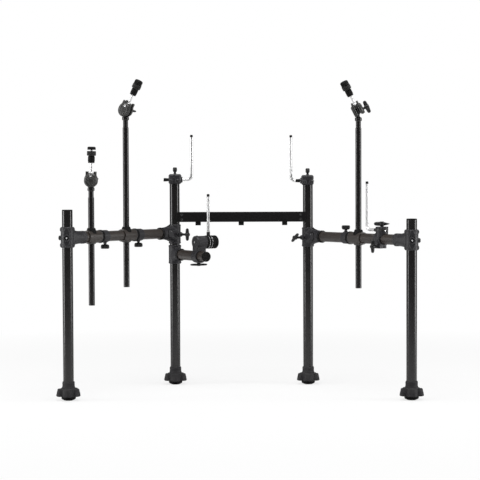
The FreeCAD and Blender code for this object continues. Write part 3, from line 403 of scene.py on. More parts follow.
def make_finishes():
    """All finishes of the rack, from the colours in the scene's settings."""
    c = bpy.context.scene.rack_finishes
    FINISHES.update({
        "enamel": gloss_paint(c.enamel),
        "satin": satin_paint(c.satin),
        "flat": flat_paint(c.flat),
        # the fifth value of each moulding is the colour of its painted edge highlight
        "charcoal": moulding("charcoal_clamp_moulding", c.charcoal, 0.0011, 0.40, (0.075, 0.073, 0.08)),
        "wing": moulding("black_wing_casting", c.wing, 0.0009, 0.36, (0.05, 0.05, 0.05)),
        "casting": moulding("tilter_casting", c.casting, 0.0013, 0.34, (0.36, 0.36, 0.35), 0.9, 0.45, 0.5),
        "rubber": foot_rubber(c.rubber),
        "sleeve": moulding("matt_black_plastic", c.sleeve, 0.0007, 0.5, (0.02, 0.02, 0.021), gleam=0.14),
        "chrome": chrome_plate(c.chrome),
        "steel": screw_steel(c.steel),
        "thread": dark_steel(),
        "felt": felt(c.sleeve),
    })


# ---- Places in the rack


def axes(origin, z_axis=Z, x_axis=X, mirrored=False):
    """The matrix that carries a shape from its own axes to an origin and axes, in millimetres."""
    z = Vector(z_axis).normalized()
    y = z.cross(x_axis).normalized()
    x = y.cross(z)
    if mirrored:
        y = -y
    return Matrix(((x.x, y.x, z.x, origin[0]), (x.y, y.y, z.y, origin[1]), (x.z, y.z, z.z, origin[2]),
                   (0, 0, 0, 1)))


def center_place(side, height=0.0):
    return Vector((SIDES[side] * CENTER_X, CENTER_Y, height))


def outer_place(side):
    return Vector((SIDES[side] * OUTER_X, OUTER_Y, 0))


def wing_way(side):
    return (outer_place(side) - center_place(side)).normalized()


def wing_length(side):
    return (outer_place(side) - center_place(side)).length


def on_wing(side, along):
    """Own X runs out along a side tube, own Y faces the viewer."""
    at = center_place(side) + wing_way(side) * along
    at.z = TUBE_Z[side]
    return axes(at, Z, wing_way(side), side == "right")


def on_outer_post(side):
    """Own X runs along a side tube from the outer post to the centre post."""
    return on_wing(side, wing_length(side)) @ Matrix.Rotation(math.pi, 4, "Z")


def outer_front(side):
    """The directions of the viewer and of the rack's outer side in an outer clamp's own axes."""
    back = on_outer_post(side).to_3x3().inverted()
    front = (back @ -Y).normalized()
    outward = (back @ (X * SIDES[side])).normalized()
    return front, outward


def arm_place(name, height=0.0):
    arm = ARMS[name]
    at = center_place(arm.side) + wing_way(arm.side) * arm.along
    at.z = height
    return at


def on_tilter(name):
    """Own Z runs along the cymbal rod from the ball, own Y along the tilter's wing bolt."""
    arm = ARMS[name]
    compass = math.radians(arm.lean)
    turn = math.radians(arm.tilt)
    way = Vector((math.cos(compass), math.sin(compass), 0))
    up = way * math.sin(turn) + Z * math.cos(turn)
    bolt = Z.cross(way) if arm.behind else (X - up * up.x).normalized()
    return axes(arm_place(name, arm.ball), up, bolt.cross(up))


def on_tom(side):
    """Own X points to the rack's middle, own Y to the back, from the rod's height on the post."""
    return axes(center_place(side, TOM_Z[side]), Z, X * -SIDES[side], side == "right")


def on_snare(along=0.0):
    turn = math.radians(SNARE_ANGLE)
    way = Vector((math.cos(turn), math.sin(turn), 0))
    return axes(center_place("left", SNARE_Z) + way * along, Z, way)


def spot(origin, z_axis, x_axis=X):
    """A place inside a part's own axes."""
    if abs(Vector(z_axis).normalized().dot(Vector(x_axis).normalized())) > 0.99:
        x_axis = Y
    return axes(Vector(origin), z_axis, x_axis)

# Turns a shape so that its Z runs along X
ALONG = spot((0, 0, 0), X, Y)


# ---- Mesh tools, in millimetres


def mesh_of(bm, name="shape"):
    mesh = bpy.data.meshes.new(name)
    bmesh.ops.recalc_face_normals(bm, faces=bm.faces)
    bm.to_mesh(mesh)
    bm.free()
    return mesh


def moved(mesh, matrix):
    """A copy of a mesh in another place; a mirrored place turns its faces over again."""
    copy = mesh.copy()
    copy.transform(matrix)
    if matrix.determinant() < 0:
        copy.flip_normals()
    return copy


def joined(*meshes):
    """One mesh of several, each left as it is."""
    bm = bmesh.new()
    for mesh in meshes:
        bm.from_mesh(mesh)
    out = bpy.data.meshes.new("joined")
    bm.to_mesh(out)
    bm.free()
    return out


def softened(outline, radius, closed=False, steps=3):
    """An outline of (radius, height) points with its corners rounded, and a point beside each round."""
    out = []
    count = len(outline)
    for i, point in enumerate(outline):
        here = Vector(point)
        if not closed and i in (0, count - 1):
            out.append(here)
            continue
        before = Vector(outline[i - 1])
        after = Vector(outline[(i + 1) % count])
        a = before - here
        b = after - here
        reach = min(radius, a.length * 0.4, b.length * 0.4)
        if reach < 0.02 or a.angle(b) > 3.0:
            out.append(here)
            continue
        a.normalize()
        b.normalize()
        support = reach * 0.3
        out.append(here + a * (reach + support))
        for k in range(steps + 1):
            t = k / steps
            curve = (1 - t) ** 2 * (here + a * reach) + 2 * t * (1 - t) * here + t * t * (here + b * reach)
            out.append(curve)
        out.append(here + b * (reach + support))
    return out


def round_points(count):
    """The cosine and sine of each step of a circle."""
    return [(math.cos(2 * math.pi * k / count), math.sin(2 * math.pi * k / count)) for k in range(count)]


def turned(outline, radius=0.6, closed=False, around=64, steps=3):
    """A body turned about Z from an outline of (radius, height) points, with soft corners."""
    points = softened(outline, radius, closed, steps) if radius else [Vector(p) for p in outline]
    bm = bmesh.new()
    rings = []
    for r, z in points:
        if r < 1e-4:
            rings.append([bm.verts.new((0, 0, z))])
            continue
        rings.append([bm.verts.new((r * c, r * s, z)) for c, s in round_points(around)])
    pairs = list(zip(rings, rings[1:]))
    if closed:
        pairs.append((rings[-1], rings[0]))
    for low, high in pairs:
        for k in range(around):
            n = (k + 1) % around
            if len(low) == 1 and len(high) == 1:
                continue
            if len(low) == 1:
                bm.faces.new((low[0], high[n], high[k]))
            elif len(high) == 1:
                bm.faces.new((low[k], low[n], high[0]))
            else:
                bm.faces.new((low[k], low[n], high[n], high[k]))
    return mesh_of(bm)


def pipe(outer, inner, low, high, lip=0.5, around=64):
    """A tube along Z with rounded lips."""
    return turned([(outer, low), (outer, high), (inner, high), (inner, low)], lip, True, around)


def pin(radius, low, high, edge=0.5, around=48):
    """A solid round bar along Z."""
    return turned([(0, low), (radius, low), (radius, high), (0, high)], edge, False, around)


def lofted(rings):
    """A closed skin over rings of points, each ring with the same count, capped at both ends."""
    bm = bmesh.new()
    rows = [[bm.verts.new(p) for p in ring] for ring in rings]
    count = len(rows[0])
    for low, high in zip(rows, rows[1:]):
        for k in range(count):
            n = (k + 1) % count
            bm.faces.new((low[k], low[n], high[n], high[k]))
    bm.faces.new(rows[0][::-1])
    bm.faces.new(rows[-1])
    return mesh_of(bm)


def oval(power, wide, thick, count=32):
    """Points round an outline between an ellipse and a box."""
    return [(math.copysign(abs(c) ** power, c) * wide, math.copysign(abs(s) ** power, s) * thick)
            for c, s in round_points(count)]


def prism(outline, low, high, edge=1.0):
    """A flat outline in X and Y raised along Z, with its edges rounded."""
    bm = bmesh.new()
    floor = [bm.verts.new((x, y, low)) for x, y in outline]
    roof = [bm.verts.new((x, y, high)) for x, y in outline]
    count = len(outline)
    bm.faces.new(floor[::-1])
    bm.faces.new(roof)
    for k in range(count):
        n = (k + 1) % count
        bm.faces.new((floor[k], floor[n], roof[n], roof[k]))
    if edge:
        bmesh.ops.recalc_face_normals(bm, faces=bm.faces)
        sharp = [e for e in bm.edges if e.calc_face_angle(0) > 0.5]
        bmesh.ops.bevel(bm, geom=sharp, offset=edge, segments=3, profile=0.5, affect="EDGES",
                        clamp_overlap=True)
    return mesh_of(bm)


def block(x, y, z, edge=1.0):
    outline = [(x[0], y[0]), (x[1], y[0]), (x[1], y[1]), (x[0], y[1])]
    return prism(outline, z[0], z[1], edge)


def made_plain(mesh, prepare):
    """The mesh that an object's modifiers give; prepare adds them to the object."""
    work = bpy.data.objects.new("work", mesh)
    bpy.context.scene.collection.objects.link(work)
    prepare(work)
    bpy.context.view_layer.update()
    graph = bpy.context.evaluated_depsgraph_get()
    result = bpy.data.meshes.new_from_object(work.evaluated_get(graph), depsgraph=graph)
    bpy.data.objects.remove(work)
    return result


def carved(mesh, cutters):
    """A mesh with others cut from it."""
    holders = []

    def prepare(work):
        for cutter in cutters:
            holder = bpy.data.objects.new("cutter", cutter)
            bpy.context.scene.collection.objects.link(holder)
            holders.append(holder)
            modifier = work.modifiers.new("cut", "BOOLEAN")
            modifier.operation = "DIFFERENCE"
            modifier.solver = "MANIFOLD"
            modifier.object = holder
    result = made_plain(mesh, prepare)
    for holder in holders:
        bpy.data.objects.remove(holder)
    return result


def cast(mesh, step=None, soften=None):
    """The skin of a casting: overlapping solids run into one, with rounded edges and filled corners."""
    step = step or castings().grain / MM
    soften = castings().soften if soften is None else soften

    def prepare(work):
        skin = work.modifiers.new("skin", "REMESH")
        skin.mode = "VOXEL"
        skin.voxel_size = step
        skin.use_smooth_shade = True
        if soften:
            smooth = work.modifiers.new("smooth", "SMOOTH")
            smooth.factor = 0.6
            smooth.iterations = soften
    return made_plain(mesh, prepare)


def islands(node, place):
    """The separate solids of a frame node, merged and in a part's own axes, in millimetres."""
    bm = bmesh.new()
    bm.from_mesh(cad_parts[node].data)
    bmesh.ops.transform(bm, matrix=place.inverted() @ Matrix.Scale(1 / MM, 4), verts=bm.verts)
    bmesh.ops.remove_doubles(bm, verts=bm.verts, dist=0.0005)
    bm.verts.ensure_lookup_table()
    seen = set()
    found = []
    for start in bm.verts:
        if start.index in seen:
            continue
        group = []
        stack = [start]
        seen.add(start.index)
        while stack:
            vert = stack.pop()
            group.append(vert)
            for edge in vert.link_edges:
                other = edge.other_vert(vert)
                if other.index not in seen:
                    seen.add(other.index)
                    stack.append(other)
        keep = set(group)
        part = bmesh.new()
        copies = {v: part.verts.new(v.co) for v in group}
        for face in {f for v in group for f in v.link_faces}:
            if all(v in keep for v in face.verts):
                part.faces.new([copies[v] for v in face.verts])
        found.append(mesh_of(part))
    bm.free()
    return found


def middle(mesh):
    """The centre of a mesh's box."""
    points = [v.co for v in mesh.vertices]
    low = Vector([min(p[i] for p in points) for i in range(3)])
    high = Vector([max(p[i] for p in points) for i in range(3)])
    return (low + high) / 2


# ---- Geometry node trees for what repeats or follows a path


TREES = {}


class Tree:
    """A geometry node tree with named inputs for its sizes."""

    def __init__(self, name, inputs):
        self.tree = bpy.data.node_groups.new(name, "GeometryNodeTree")
        self.sockets = {}
        kinds = {"Geometry": "NodeSocketGeometry", "Material": "NodeSocketMaterial", int: "NodeSocketInt",
                 float: "NodeSocketFloat", "Object": "NodeSocketObject"}
        for label, kind in inputs.items():
            item = self.tree.interface.new_socket(label, in_out="INPUT", socket_type=kinds[kind])
            self.sockets[label] = item.identifier
        self.tree.interface.new_socket("Geometry", in_out="OUTPUT", socket_type="NodeSocketGeometry")
        self.given = self.tree.nodes.new("NodeGroupInput")
        TREES[name] = self

    def add(self, kind, settings=None, sockets=None):
        node = self.tree.nodes.new(kind)
        for key, value in (settings or {}).items():
            setattr(node, key, value)
        for key, value in (sockets or {}).items():
            if isinstance(value, bpy.types.NodeSocket):
                self.tree.links.new(value, node.inputs[key])
            else:
                node.inputs[key].default_value = value
        return node

    def value(self, label):
        return self.given.outputs[label]

    def times(self, first, second, operation="MULTIPLY"):
        return self.add("ShaderNodeMath", {"operation": operation}, {0: first, 1: second}).outputs[0]

    def close(self, geometry):
        """Realizes the geometry, gives it its material and ends the tree."""
        real = self.add("GeometryNodeRealizeInstances", {}, {"Geometry": geometry}).outputs[0]
        painted = self.add("GeometryNodeSetMaterial", {}, {
            "Geometry": real, "Material": self.value("Material")})
        out = self.tree.nodes.new("NodeGroupOutput")
        self.tree.links.new(painted.outputs[0], out.inputs[0])


def make_trees():
    """The trees that the pieces share."""
    row = Tree("round_row", {"Geometry": "Geometry", "Count": int, "Turn": float, "Material": "Material"})
    points = row.add("GeometryNodePoints", {}, {"Count": row.value("Count")})
    index = row.add("GeometryNodeInputIndex").outputs[0]
    step = row.times(2 * math.pi, row.value("Count"), "DIVIDE")
    angle = row.times(row.times(index, step), row.value("Turn"), "ADD")
    turn = row.add("ShaderNodeCombineXYZ", {}, {"Z": angle}).outputs[0]
    copies = row.add("GeometryNodeInstanceOnPoints", {}, {
        "Points": points.outputs[0], "Instance": row.value("Geometry"), "Rotation": turn})
    row.close(copies.outputs[0])

    fixings = Tree("fixings", {"Geometry": "Geometry", "Pattern": "Object", "Material": "Material"})
    facing = fixings.add("GeometryNodeInputNamedAttribute", {"data_type": "FLOAT_VECTOR"}, {"Name": "facing"})
    turn = fixings.add("FunctionNodeAlignRotationToVector", {"axis": "Z"}, {"Vector": facing.outputs[0]})
    pattern = fixings.add("GeometryNodeObjectInfo", {}, {"Object": fixings.value("Pattern")})
    copies = fixings.add("GeometryNodeInstanceOnPoints", {}, {
        "Points": fixings.value("Geometry"), "Instance": pattern.outputs["Geometry"],
        "Rotation": turn.outputs[0]})
    fixings.close(copies.outputs[0])

    bent = Tree("bent_rod", {"Geometry": "Geometry", "Radius": float, "Bend": float, "Sides": int,
                             "Material": "Material"})
    curve = bent.add("GeometryNodeMeshToCurve", {}, {"Mesh": bent.value("Geometry")}).outputs[0]
    fillet = bent.add("GeometryNodeFilletCurve", {"mode": "POLY"}, {
        "Curve": curve, "Count": 20, "Radius": bent.value("Bend"), "Limit Radius": True})
    ring = bent.add("GeometryNodeCurvePrimitiveCircle", {}, {
        "Resolution": bent.value("Sides"), "Radius": bent.value("Radius")})
    skin = bent.add("GeometryNodeCurveToMesh", {}, {
        "Curve": fillet.outputs[0], "Profile Curve": ring.outputs[0], "Fill Caps": True})
    bent.close(skin.outputs[0])

    thread = Tree("thread", {"Geometry": "Geometry", "Radius": float, "Length": float, "Turns": float,
                             "Depth": float, "Material": "Material"})
    helix = thread.add("GeometryNodeCurveSpiral", {}, {
        "Resolution": 20, "Rotations": thread.value("Turns"), "Start Radius": thread.value("Radius"),
        "End Radius": thread.value("Radius"), "Height": thread.value("Length")})
    ring = thread.add("GeometryNodeCurvePrimitiveCircle", {}, {
        "Resolution": 4, "Radius": thread.value("Depth")})
    skin = thread.add("GeometryNodeCurveToMesh", {}, {
        "Curve": helix.outputs[0], "Profile Curve": ring.outputs[0], "Fill Caps": True})
    thread.close(skin.outputs[0])


def grown(tree, mesh, **sizes):
    """The plain mesh that a tree makes of a mesh, in steel until its piece gets its own finish."""
    made = TREES[tree]

    def prepare(work):
        modifier = work.modifiers.new(tree, "NODES")
        modifier.node_group = made.tree
        for label, value in sizes.items():
            modifier[made.sockets[label]] = value
        modifier[made.sockets["Material"]] = FINISHES["steel"]
    return made_plain(mesh, prepare)


def round_row(mesh, count, turn=0.0):
    return grown("round_row", mesh, Count=count, Turn=turn)


def fixings(pattern, places):
    """Copies of a pattern, whose Z faces out, on a list of (point, direction)."""
    mesh = bpy.data.meshes.new("points")
    mesh.from_pydata([tuple(point) for point, way in places], [], [])
    facing = mesh.attributes.new("facing", "FLOAT_VECTOR", "POINT")
    for i, (point, way) in enumerate(places):
        facing.data[i].vector = Vector(way).normalized()
    holder = bpy.data.objects.new("pattern", pattern)
    bpy.context.scene.collection.objects.link(holder)
    result = grown("fixings", mesh, Pattern=holder)
    bpy.data.objects.remove(holder)
    return result


def bent_rod(points, radius, bend):
    mesh = bpy.data.meshes.new("path")
    mesh.from_pydata([tuple(p) for p in points], [(i, i + 1) for i in range(len(points) - 1)], [])
    return grown("bent_rod", mesh, Radius=float(radius), Bend=float(bend), Sides=28)


def threaded(radius, low, high):
    """A screw thread along Z round a core."""
    pitch = castings().thread_pitch / MM
    length = high - low
    core = pin(radius - pitch * 0.3, low, high, 0.3, 24)
    ridge = grown("thread", bpy.data.meshes.new("none"), Radius=radius - pitch * 0.35,
                  Length=length - pitch, Turns=(length - pitch) / pitch, Depth=pitch * 0.45)
    return joined(core, moved(ridge, Matrix.Translation((0, 0, low + pitch / 2))))


# ---- Putting pieces in the rack


class Seat:
    """A place in the rack, with the node and the body of the pieces that are put there."""

    def __init__(self, node, body, place=HERE):
        self.node = node
        self.body = body
        self.place = place

    def solids(self):
        return islands(self.node, self.place)

    def put(self, name, mesh, finish, at=HERE):
        """A finished piece: its place goes into its mesh, and it rides on its body. A name that starts with
        an underscore follows the node's own."""
        if name.startswith("_"):
            name = self.node + name
        mesh = moved(moved(mesh, at), Matrix.Scale(MM, 4) @ self.place)
        mesh.name = name
        mesh.materials.clear()
        mesh.materials.append(FINISHES[finish])
        for face in mesh.polygons:
            face.use_smooth = True
            face.material_index = 0
        piece = bpy.data.objects.new(name, mesh)
        bpy.context.scene.collection.objects.link(piece)
        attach(piece, self.body)
        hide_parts(self.node)
        return piece


def center_seat(node, side):
    return Seat(node, "rack_center", Matrix.Translation(center_place(side)))


def outer_seat(node, side):
    return Seat(node, "outer_leg_" + side, Matrix.Translation(outer_place(side)))


def flat_sides(piece):
    """Keeps the flats of a piece flat beside its rounded edges."""
    weights = piece.modifiers.new("flats", "WEIGHTED_NORMAL")
    weights.keep_sharp = True
    weights.weight = 60
    for edge in piece.data.edges:
        edge.use_edge_sharp = False


def wing_handle(span, depth, thickness, neck, point):
    """The two wings of a bolt, from the height neck, with rounded tips; point thins one wing to a tip."""
    rings = []
    stations = 22
    for i in range(stations + 1):
        s = -1 + 2 * i / stations
        s = math.copysign(abs(math.sin(s * math.pi / 2)) ** 0.9, s)
        taper = math.sqrt(max(0.0, 1 - abs(s) ** 9)) * (1 - point * max(s, 0.0) ** 1.2)
        half_height = max(depth / 2 * (0.92 + 0.08 * math.cos(s * 3.0)) * taper, 0.12)
        half_thick = max(thickness / 2 * (1.0 - 0.2 * abs(s) ** 1.3) * taper, 0.12)
        lift = neck + depth / 2
        rings.append([(s * span / 2, half_thick * sine, lift + half_height * cosine)
                      for cosine, sine in round_points(24)])
    return lofted(rings)


def wing_bolt(neck, span=48.0, depth=16.0, thickness=9.5, point=0.0):
    """The casting of a wing bolt that points out along Z from its seat."""
    seat = 1.8
    top = neck + depth
    stem = turned([(0, 0.3), (6.5, 0.3), (6.5, seat), (4.6, seat + 0.6), (4.4, neck), (0, neck)], 0.5,
                  around=32)
    hub = turned([(0, neck - 1), (5.5, neck - 1), (8.0, neck + 2), (8.2, top - 3), (6.4, top + 0.6),
                  (0, top + 0.9)], 1.2, around=32)
    dimple = turned([(0, top - 0.8), (2.6, top - 0.2), (3.2, top + 3), (0, top + 3)], 0, around=24)
    wings = wing_handle(span, depth, thickness, neck, point)
    return carved(cast(joined(stem, hub, wings), 0.6, 2), [dimple])


def add_wing_bolt(node, body, place, neck, shaft, **sizes):
    """A wing bolt with a neck and a threaded shaft of the given lengths."""
    seat = Seat(node, body, place)
    seat.put("_handle", wing_bolt(neck, **sizes), "wing")
    seat.put("_thread", threaded(BOLT_R, -shaft, 1.0), "thread")


def socket_screw(radius=3.2, height=2.4, key=1.7):
    """A socket screw's head, which stands on the origin and faces out along Z."""
    hexagon = [(key * c, key * s) for c, s in round_points(6)]
    return carved(pin(radius, -1.0, height, 0.5, 28), [prism(hexagon, height - 1.4, height + 1, 0)])


def cross_screw(radius=3.0, height=1.2):
    """A domed screw's head with a cross recess."""
    head = turned([(0, -1.0), (radius, -1.0), (radius, height * 0.35), (radius * 0.6, height * 0.9),
                   (0, height)], 0.4, around=28)
    arm = radius * 0.62
    slot = block((-arm, arm), (-0.45, 0.45), (height - 0.9, height + 1), 0)
    return carved(head, [slot, moved(slot, Matrix.Rotation(math.pi / 2, 4, "Z"))])


# ---- The pieces, one operator for each group


class RACK_OT_posts(bpy.types.Operator):
    """The four post tubes and the caps of the outer ones"""
    bl_idname = "rack.posts"
    bl_label = "Posts"

    def execute(self, context):
        radius, bore = tube_radii()
        for side in SIDES:
            post = pipe(radius, bore, POST_FLOOR, CENTER_TOP, 0.6, 96)
            center_seat("center_post_" + side, side).put("_tube", post, "enamel")
            seat = outer_seat("outer_post_" + side, side)
            top = OUTER_TOP[side]
            seat.put("_tube", pipe(radius, bore, POST_FLOOR, top - 4.0, 0.4, 96), "enamel")
            plug = bore - FIT
            cap = turned([(0, top - 18), (plug, top - 18), (plug, top - 3.92), (radius, top - 3.92),
                          (radius, top - 2.6), (radius - 0.35, top - 2.4), (radius - 0.35, top - 2.0),
                          (radius, top - 1.8), (radius - 0.4, top - 0.5), (radius - 2.4, top),
                          (6, top - 0.35), (0, top - 0.35)], 0.35, around=96)
            seat.put("_cap", cap, "sleeve")
        return {"FINISHED"}


def foot_skirt():
    """The lobed skirt of a foot: five broad lobes round a core, which narrow towards the top."""
    lobes = 5
    parts = [turned([(0, 14.5), (33, 14.5), (31, 42.5), (0, 42.5)], 1.0)]
    for i in range(lobes):
        angle = math.radians(-90 + 360 * i / lobes)
        out = Vector((math.cos(angle), math.sin(angle), 0))
        across = Vector((-out.y, out.x, 0))
        rings = []
        for z, reach, half in ((14.7, 42.4, 15.6), (16.2, 44.3, 17.4), (19.0, 44.4, 17.8), (31.0, 42.0, 16.4),
                               (41.0, 39.6, 14.8), (42.3, 38.0, 13.6)):
            rings.append([out * (reach - half + u) + across * v + Z * z for u, v in oval(0.8, half, half)])
        parts.append(lofted(rings))
    return joined(*parts)


def foot():
    """A rubber foot with its stepped collar, as one moulding with a bore for the post."""
    collar = turned([(0, 41), (24.2, 41), (23.4, 49), (22.4, 49.6), (22.0, 62.0), (22.0, 65.6), (20.6, 68.6),
                     (0, 68.6)], 1.0)
    bead = pin(22.9, 60.6, 62.6, 0.8, 64)
    shoulder = turned([(0, 40.0), (30.0, 40.0), (25.6, 44.0), (0, 44.0)], 1.0)
    body = cast(joined(foot_skirt(), collar, bead, shoulder), 1.0, 2)
    return carved(body, [pin(TUBE_HOLE, 19, 75, 0, 64), pin(26.2, 13.0, 15.6, 0, 64)])


def foot_pad():
    """The black pad under a foot: a domed tread with two rings and a stud."""
    return turned([(0, 0), (7, 0), (7.5, 0.8), (9.5, 0.8), (10, 0), (15.0, 0), (24.0, 4.3), (26.0, 7.6),
                   (26.0, 15.3), (8.0, 15.4), (8.0, 22.8), (0, 22.8)], 0.4)


class RACK_OT_feet(bpy.types.Operator):
    """The rubber feet and the pads under them"""
    bl_idname = "rack.feet"
    bl_label = "Feet"

    def execute(self, context):
        boot = foot()
        pad = foot_pad()
        for side in SIDES:
            for where, seat in (("center", center_seat("center_feet", side)),
                                ("outer", outer_seat("outer_foot_" + side, side))):
                seat.put(f"{where}_foot_{side}_boot", boot, "rubber")
                seat.put(f"{where}_foot_{side}_pad", pad, "sleeve")
        return {"FINISHED"}


class RACK_OT_cross_bar(bpy.types.Operator):
    """The flat bar between the centre posts, with its screws and cable clips"""
    bl_idname = "rack.cross_bar"
    bl_label = "Cross bar"

    def execute(self, context):
        depth = 21.5
        at = Matrix.Translation((0, CENTER_Y - depth, BAR_Z))
        half = CENTER_X - 6.5
        posts = [moved(pin(TUBE_HOLE, -30, 30, 0, 96), Matrix.Translation((x, depth, 0)))
                 for x in (-CENTER_X, CENTER_X)]
        bar = carved(block((-half, half), (0.0, 30.0), (-19.05, 19.05), 1.6), posts)
        flat_sides(Seat("cross_bar", "rack_center", at).put("_beam", bar, "flat"))
        places = [((x, 0.0, z), -Y) for x in (-228.45, 228.45) for z in (-9.525, 9.525)]
        screws = Seat("cross_bar_screws", "rack_center", at)
        screws.put("cross_bar_screw_heads", fixings(socket_screw(5.2, 0.2, 2.2), places), "wing")
        clips = Seat("cable_clips", "rack_center")
        for i, solid in enumerate(sorted(clips.solids(), key=lambda m: middle(m).x)):
            clips.put(f"cable_clip_{i}", cast(solid, 0.7, 2), "sleeve")
        return {"FINISHED"}


def disc_cap():
    """The round cover on the front of a centre clamp, with a raised rim and a dished face, from its seat."""
    return turned([(0, 0), (15.2, 0), (15.2, 3.4), (14.2, 4.4), (12.6, 4.4), (12.0, 3.2), (4.0, 2.6),
                   (0, 2.6)], 0.4, around=48)


def rim(radius, low, high, stand=0.9):
    """A raised band round a barrel, along Z."""
    return pipe(radius + stand, radius - 4, low, high)


def socket_ring(inner, outer, low, high):
    """The black ring in the mouth of a socket, along X."""
    ring = turned([(inner, low), (outer - 0.4, low), (outer, low + 0.8), (outer, high - 1.4),
                   (outer - 1.4, high), (inner + 0.3, high)], 0.4, True, 72)
    return moved(ring, ALONG)


def clamp_slot():
    """The gap at the back of a clamp, which its wing bolt closes."""
    return block((-40, -17), (-0.8, 0.8), (-50, 50), 0)


class RACK_OT_post_clamps(bpy.types.Operator):
    """The cast clamps on the four posts and the clamp of the snare arm"""
    bl_idname = "rack.post_clamps"
    bl_label = "Post clamps"

    def execute(self, context):
        for side in SIDES:
            self.center(side)
            self.outer(side)
        self.snare()
        return {"FINISHED"}

    def center(self, side):
        seat = Seat("center_clamp_" + side, side + "_wing", on_wing(side, 0))
        rims = [rim(22.6, 28.5, 32.0), rim(22.6, -39.0, -35.5)]
        ribs = []
        for way in (-1, 1):
            for across in (-9.0, 9.0):
                rib = prism([(20, 21), (30, 20), (60, 20), (82, 20.6), (82, 21.6), (52, 23.5), (36, 27),
                             (26, 31), (20, 31)], across - 1.1, across + 1.1, 0)
                ribs.append(moved(rib, Matrix(((1, 0, 0, 0), (0, 0, 1, 0), (0, way, 0, 0), (0, 0, 0, 1)))))
        skin = cast(joined(seat.solids()[0], *rims, *ribs))
        seat.put("_casting", carved(skin, [clamp_slot()]), "charcoal")
        seat.put("_ring", socket_ring(RING_BORE, 23.55, 79.6, 88.2), "sleeve")
        disc_x = 46
        seat.put("_disc", disc_cap(), "charcoal", spot((disc_x, 20.6, 0), Y, X))
        # painted shadow: a black ring behind the disc stands for the shade in the gap round it
        seat.put("_disc_seat", pipe(17.0, 6, 18, 22.6, 0.4, 48), "sleeve", spot((disc_x, 0, 0), Y, X))
        heads = fixings(cross_screw(2.0, 1.2), [((disc_x, 24.3, 8.6), Y), ((disc_x, -22.2, 0), -Y)])
        seat.put("_screws", heads, "steel")

    def outer(self, side):
        seat = Seat("outer_clamp_" + side, side + "_wing", on_outer_post(side))
        front, outward = outer_front(side)
        rims = [rim(24.0, 33.0, 37.5, 1.0), rim(24.0, 23.0, 26.5, 0.8), rim(24.0, -22.5, -19.0, 0.8),
                rim(24.0, -33.5, -29.0, 1.0)]
        ears = [moved(pin(5.2, 20, 26.6), spot(Z * height, way, Z)) for height in (30, -26)
                for way in (outward, -outward)]
        shield = [(12.0 * c, 33.0 * s) for c, s in round_points(48)]
        ears.append(moved(prism(shield, 19.0, 26.0, 0), spot(Z * 2, front, Z.cross(front))))
        teeth = round_row(block((21.4, 24.3), (-2.6, 2.6), (60, 79), 0.5), 8, math.pi / 8)
        skin = cast(joined(seat.solids()[0], *rims, *ears, moved(teeth, ALONG)))
        seat.put("_casting", skin, "charcoal")
        facing = spot((0, 0, 0), front, Z)
        boss = turned([(0, 22), (12.4, 22), (12.4, 27.6), (11.4, 28.6), (8.2, 28.6), (7.4, 26.6), (0, 26.4)],
                      0.4, around=48)
        seat.put("_boss", boss, "charcoal", facing)
        # painted shade: a black ring in the boss's recess stands for the shade inside it
        seat.put("_well", pipe(8.0, 3.6, 25.0, 26.9, 0.2, 36), "sleeve", facing)
        screws = Seat("outer_clamp_screws_" + side, seat.body, seat.place)
        screws.put("_front", fixings(socket_screw(3.4, 1.9, 1.5), [(front * 26.6, front)]), "steel")
        nut = turned([(0, 25.5), (8.5, 25.5), (8.5, 28.6), (7.4, 29.4), (6.0, 31.4), (3.5, 32.0), (0, 32.0)],
                     0.7, around=36)
        screws.put("_nut", nut, "wing", spot((0, 0, 0), outward, Z))

    def snare(self):
        seat = Seat("snare_clamp", "snare_arm", on_snare())
        skin = cast(joined(seat.solids()[0], rim(23.6, 29.5, 34.0), rim(23.6, -34.0, -29.5)))
        seat.put("_casting", carved(skin, [clamp_slot()]), "charcoal")
        seat.put("_ring", socket_ring(RING_BORE, 23.5, 44.2, 52.2), "sleeve")


class RACK_OT_side_tubes(bpy.types.Operator):
    """The side tubes, drilled for the cymbal poles"""
    bl_idname = "rack.side_tubes"
    bl_label = "Side tubes"

    def execute(self, context):
        radius, bore = tube_radii()
        hole = tubes().pole / MM / 2 + 0.6
        for side in SIDES:
            skin = moved(pipe(radius, bore, TUBE_START, wing_length(side) - TUBE_START, 0.4, 96), ALONG)
            drills = [moved(pin(hole, -30, 30, 0), Matrix.Translation((arm.along, 0, 0)))
                      for arm in ARMS.values() if arm.side == side]
            seat = Seat("side_tube_" + side, side + "_wing", on_wing(side, 0))
            flat_sides(seat.put("_pipe", carved(skin, drills), "satin"))
        return {"FINISHED"}


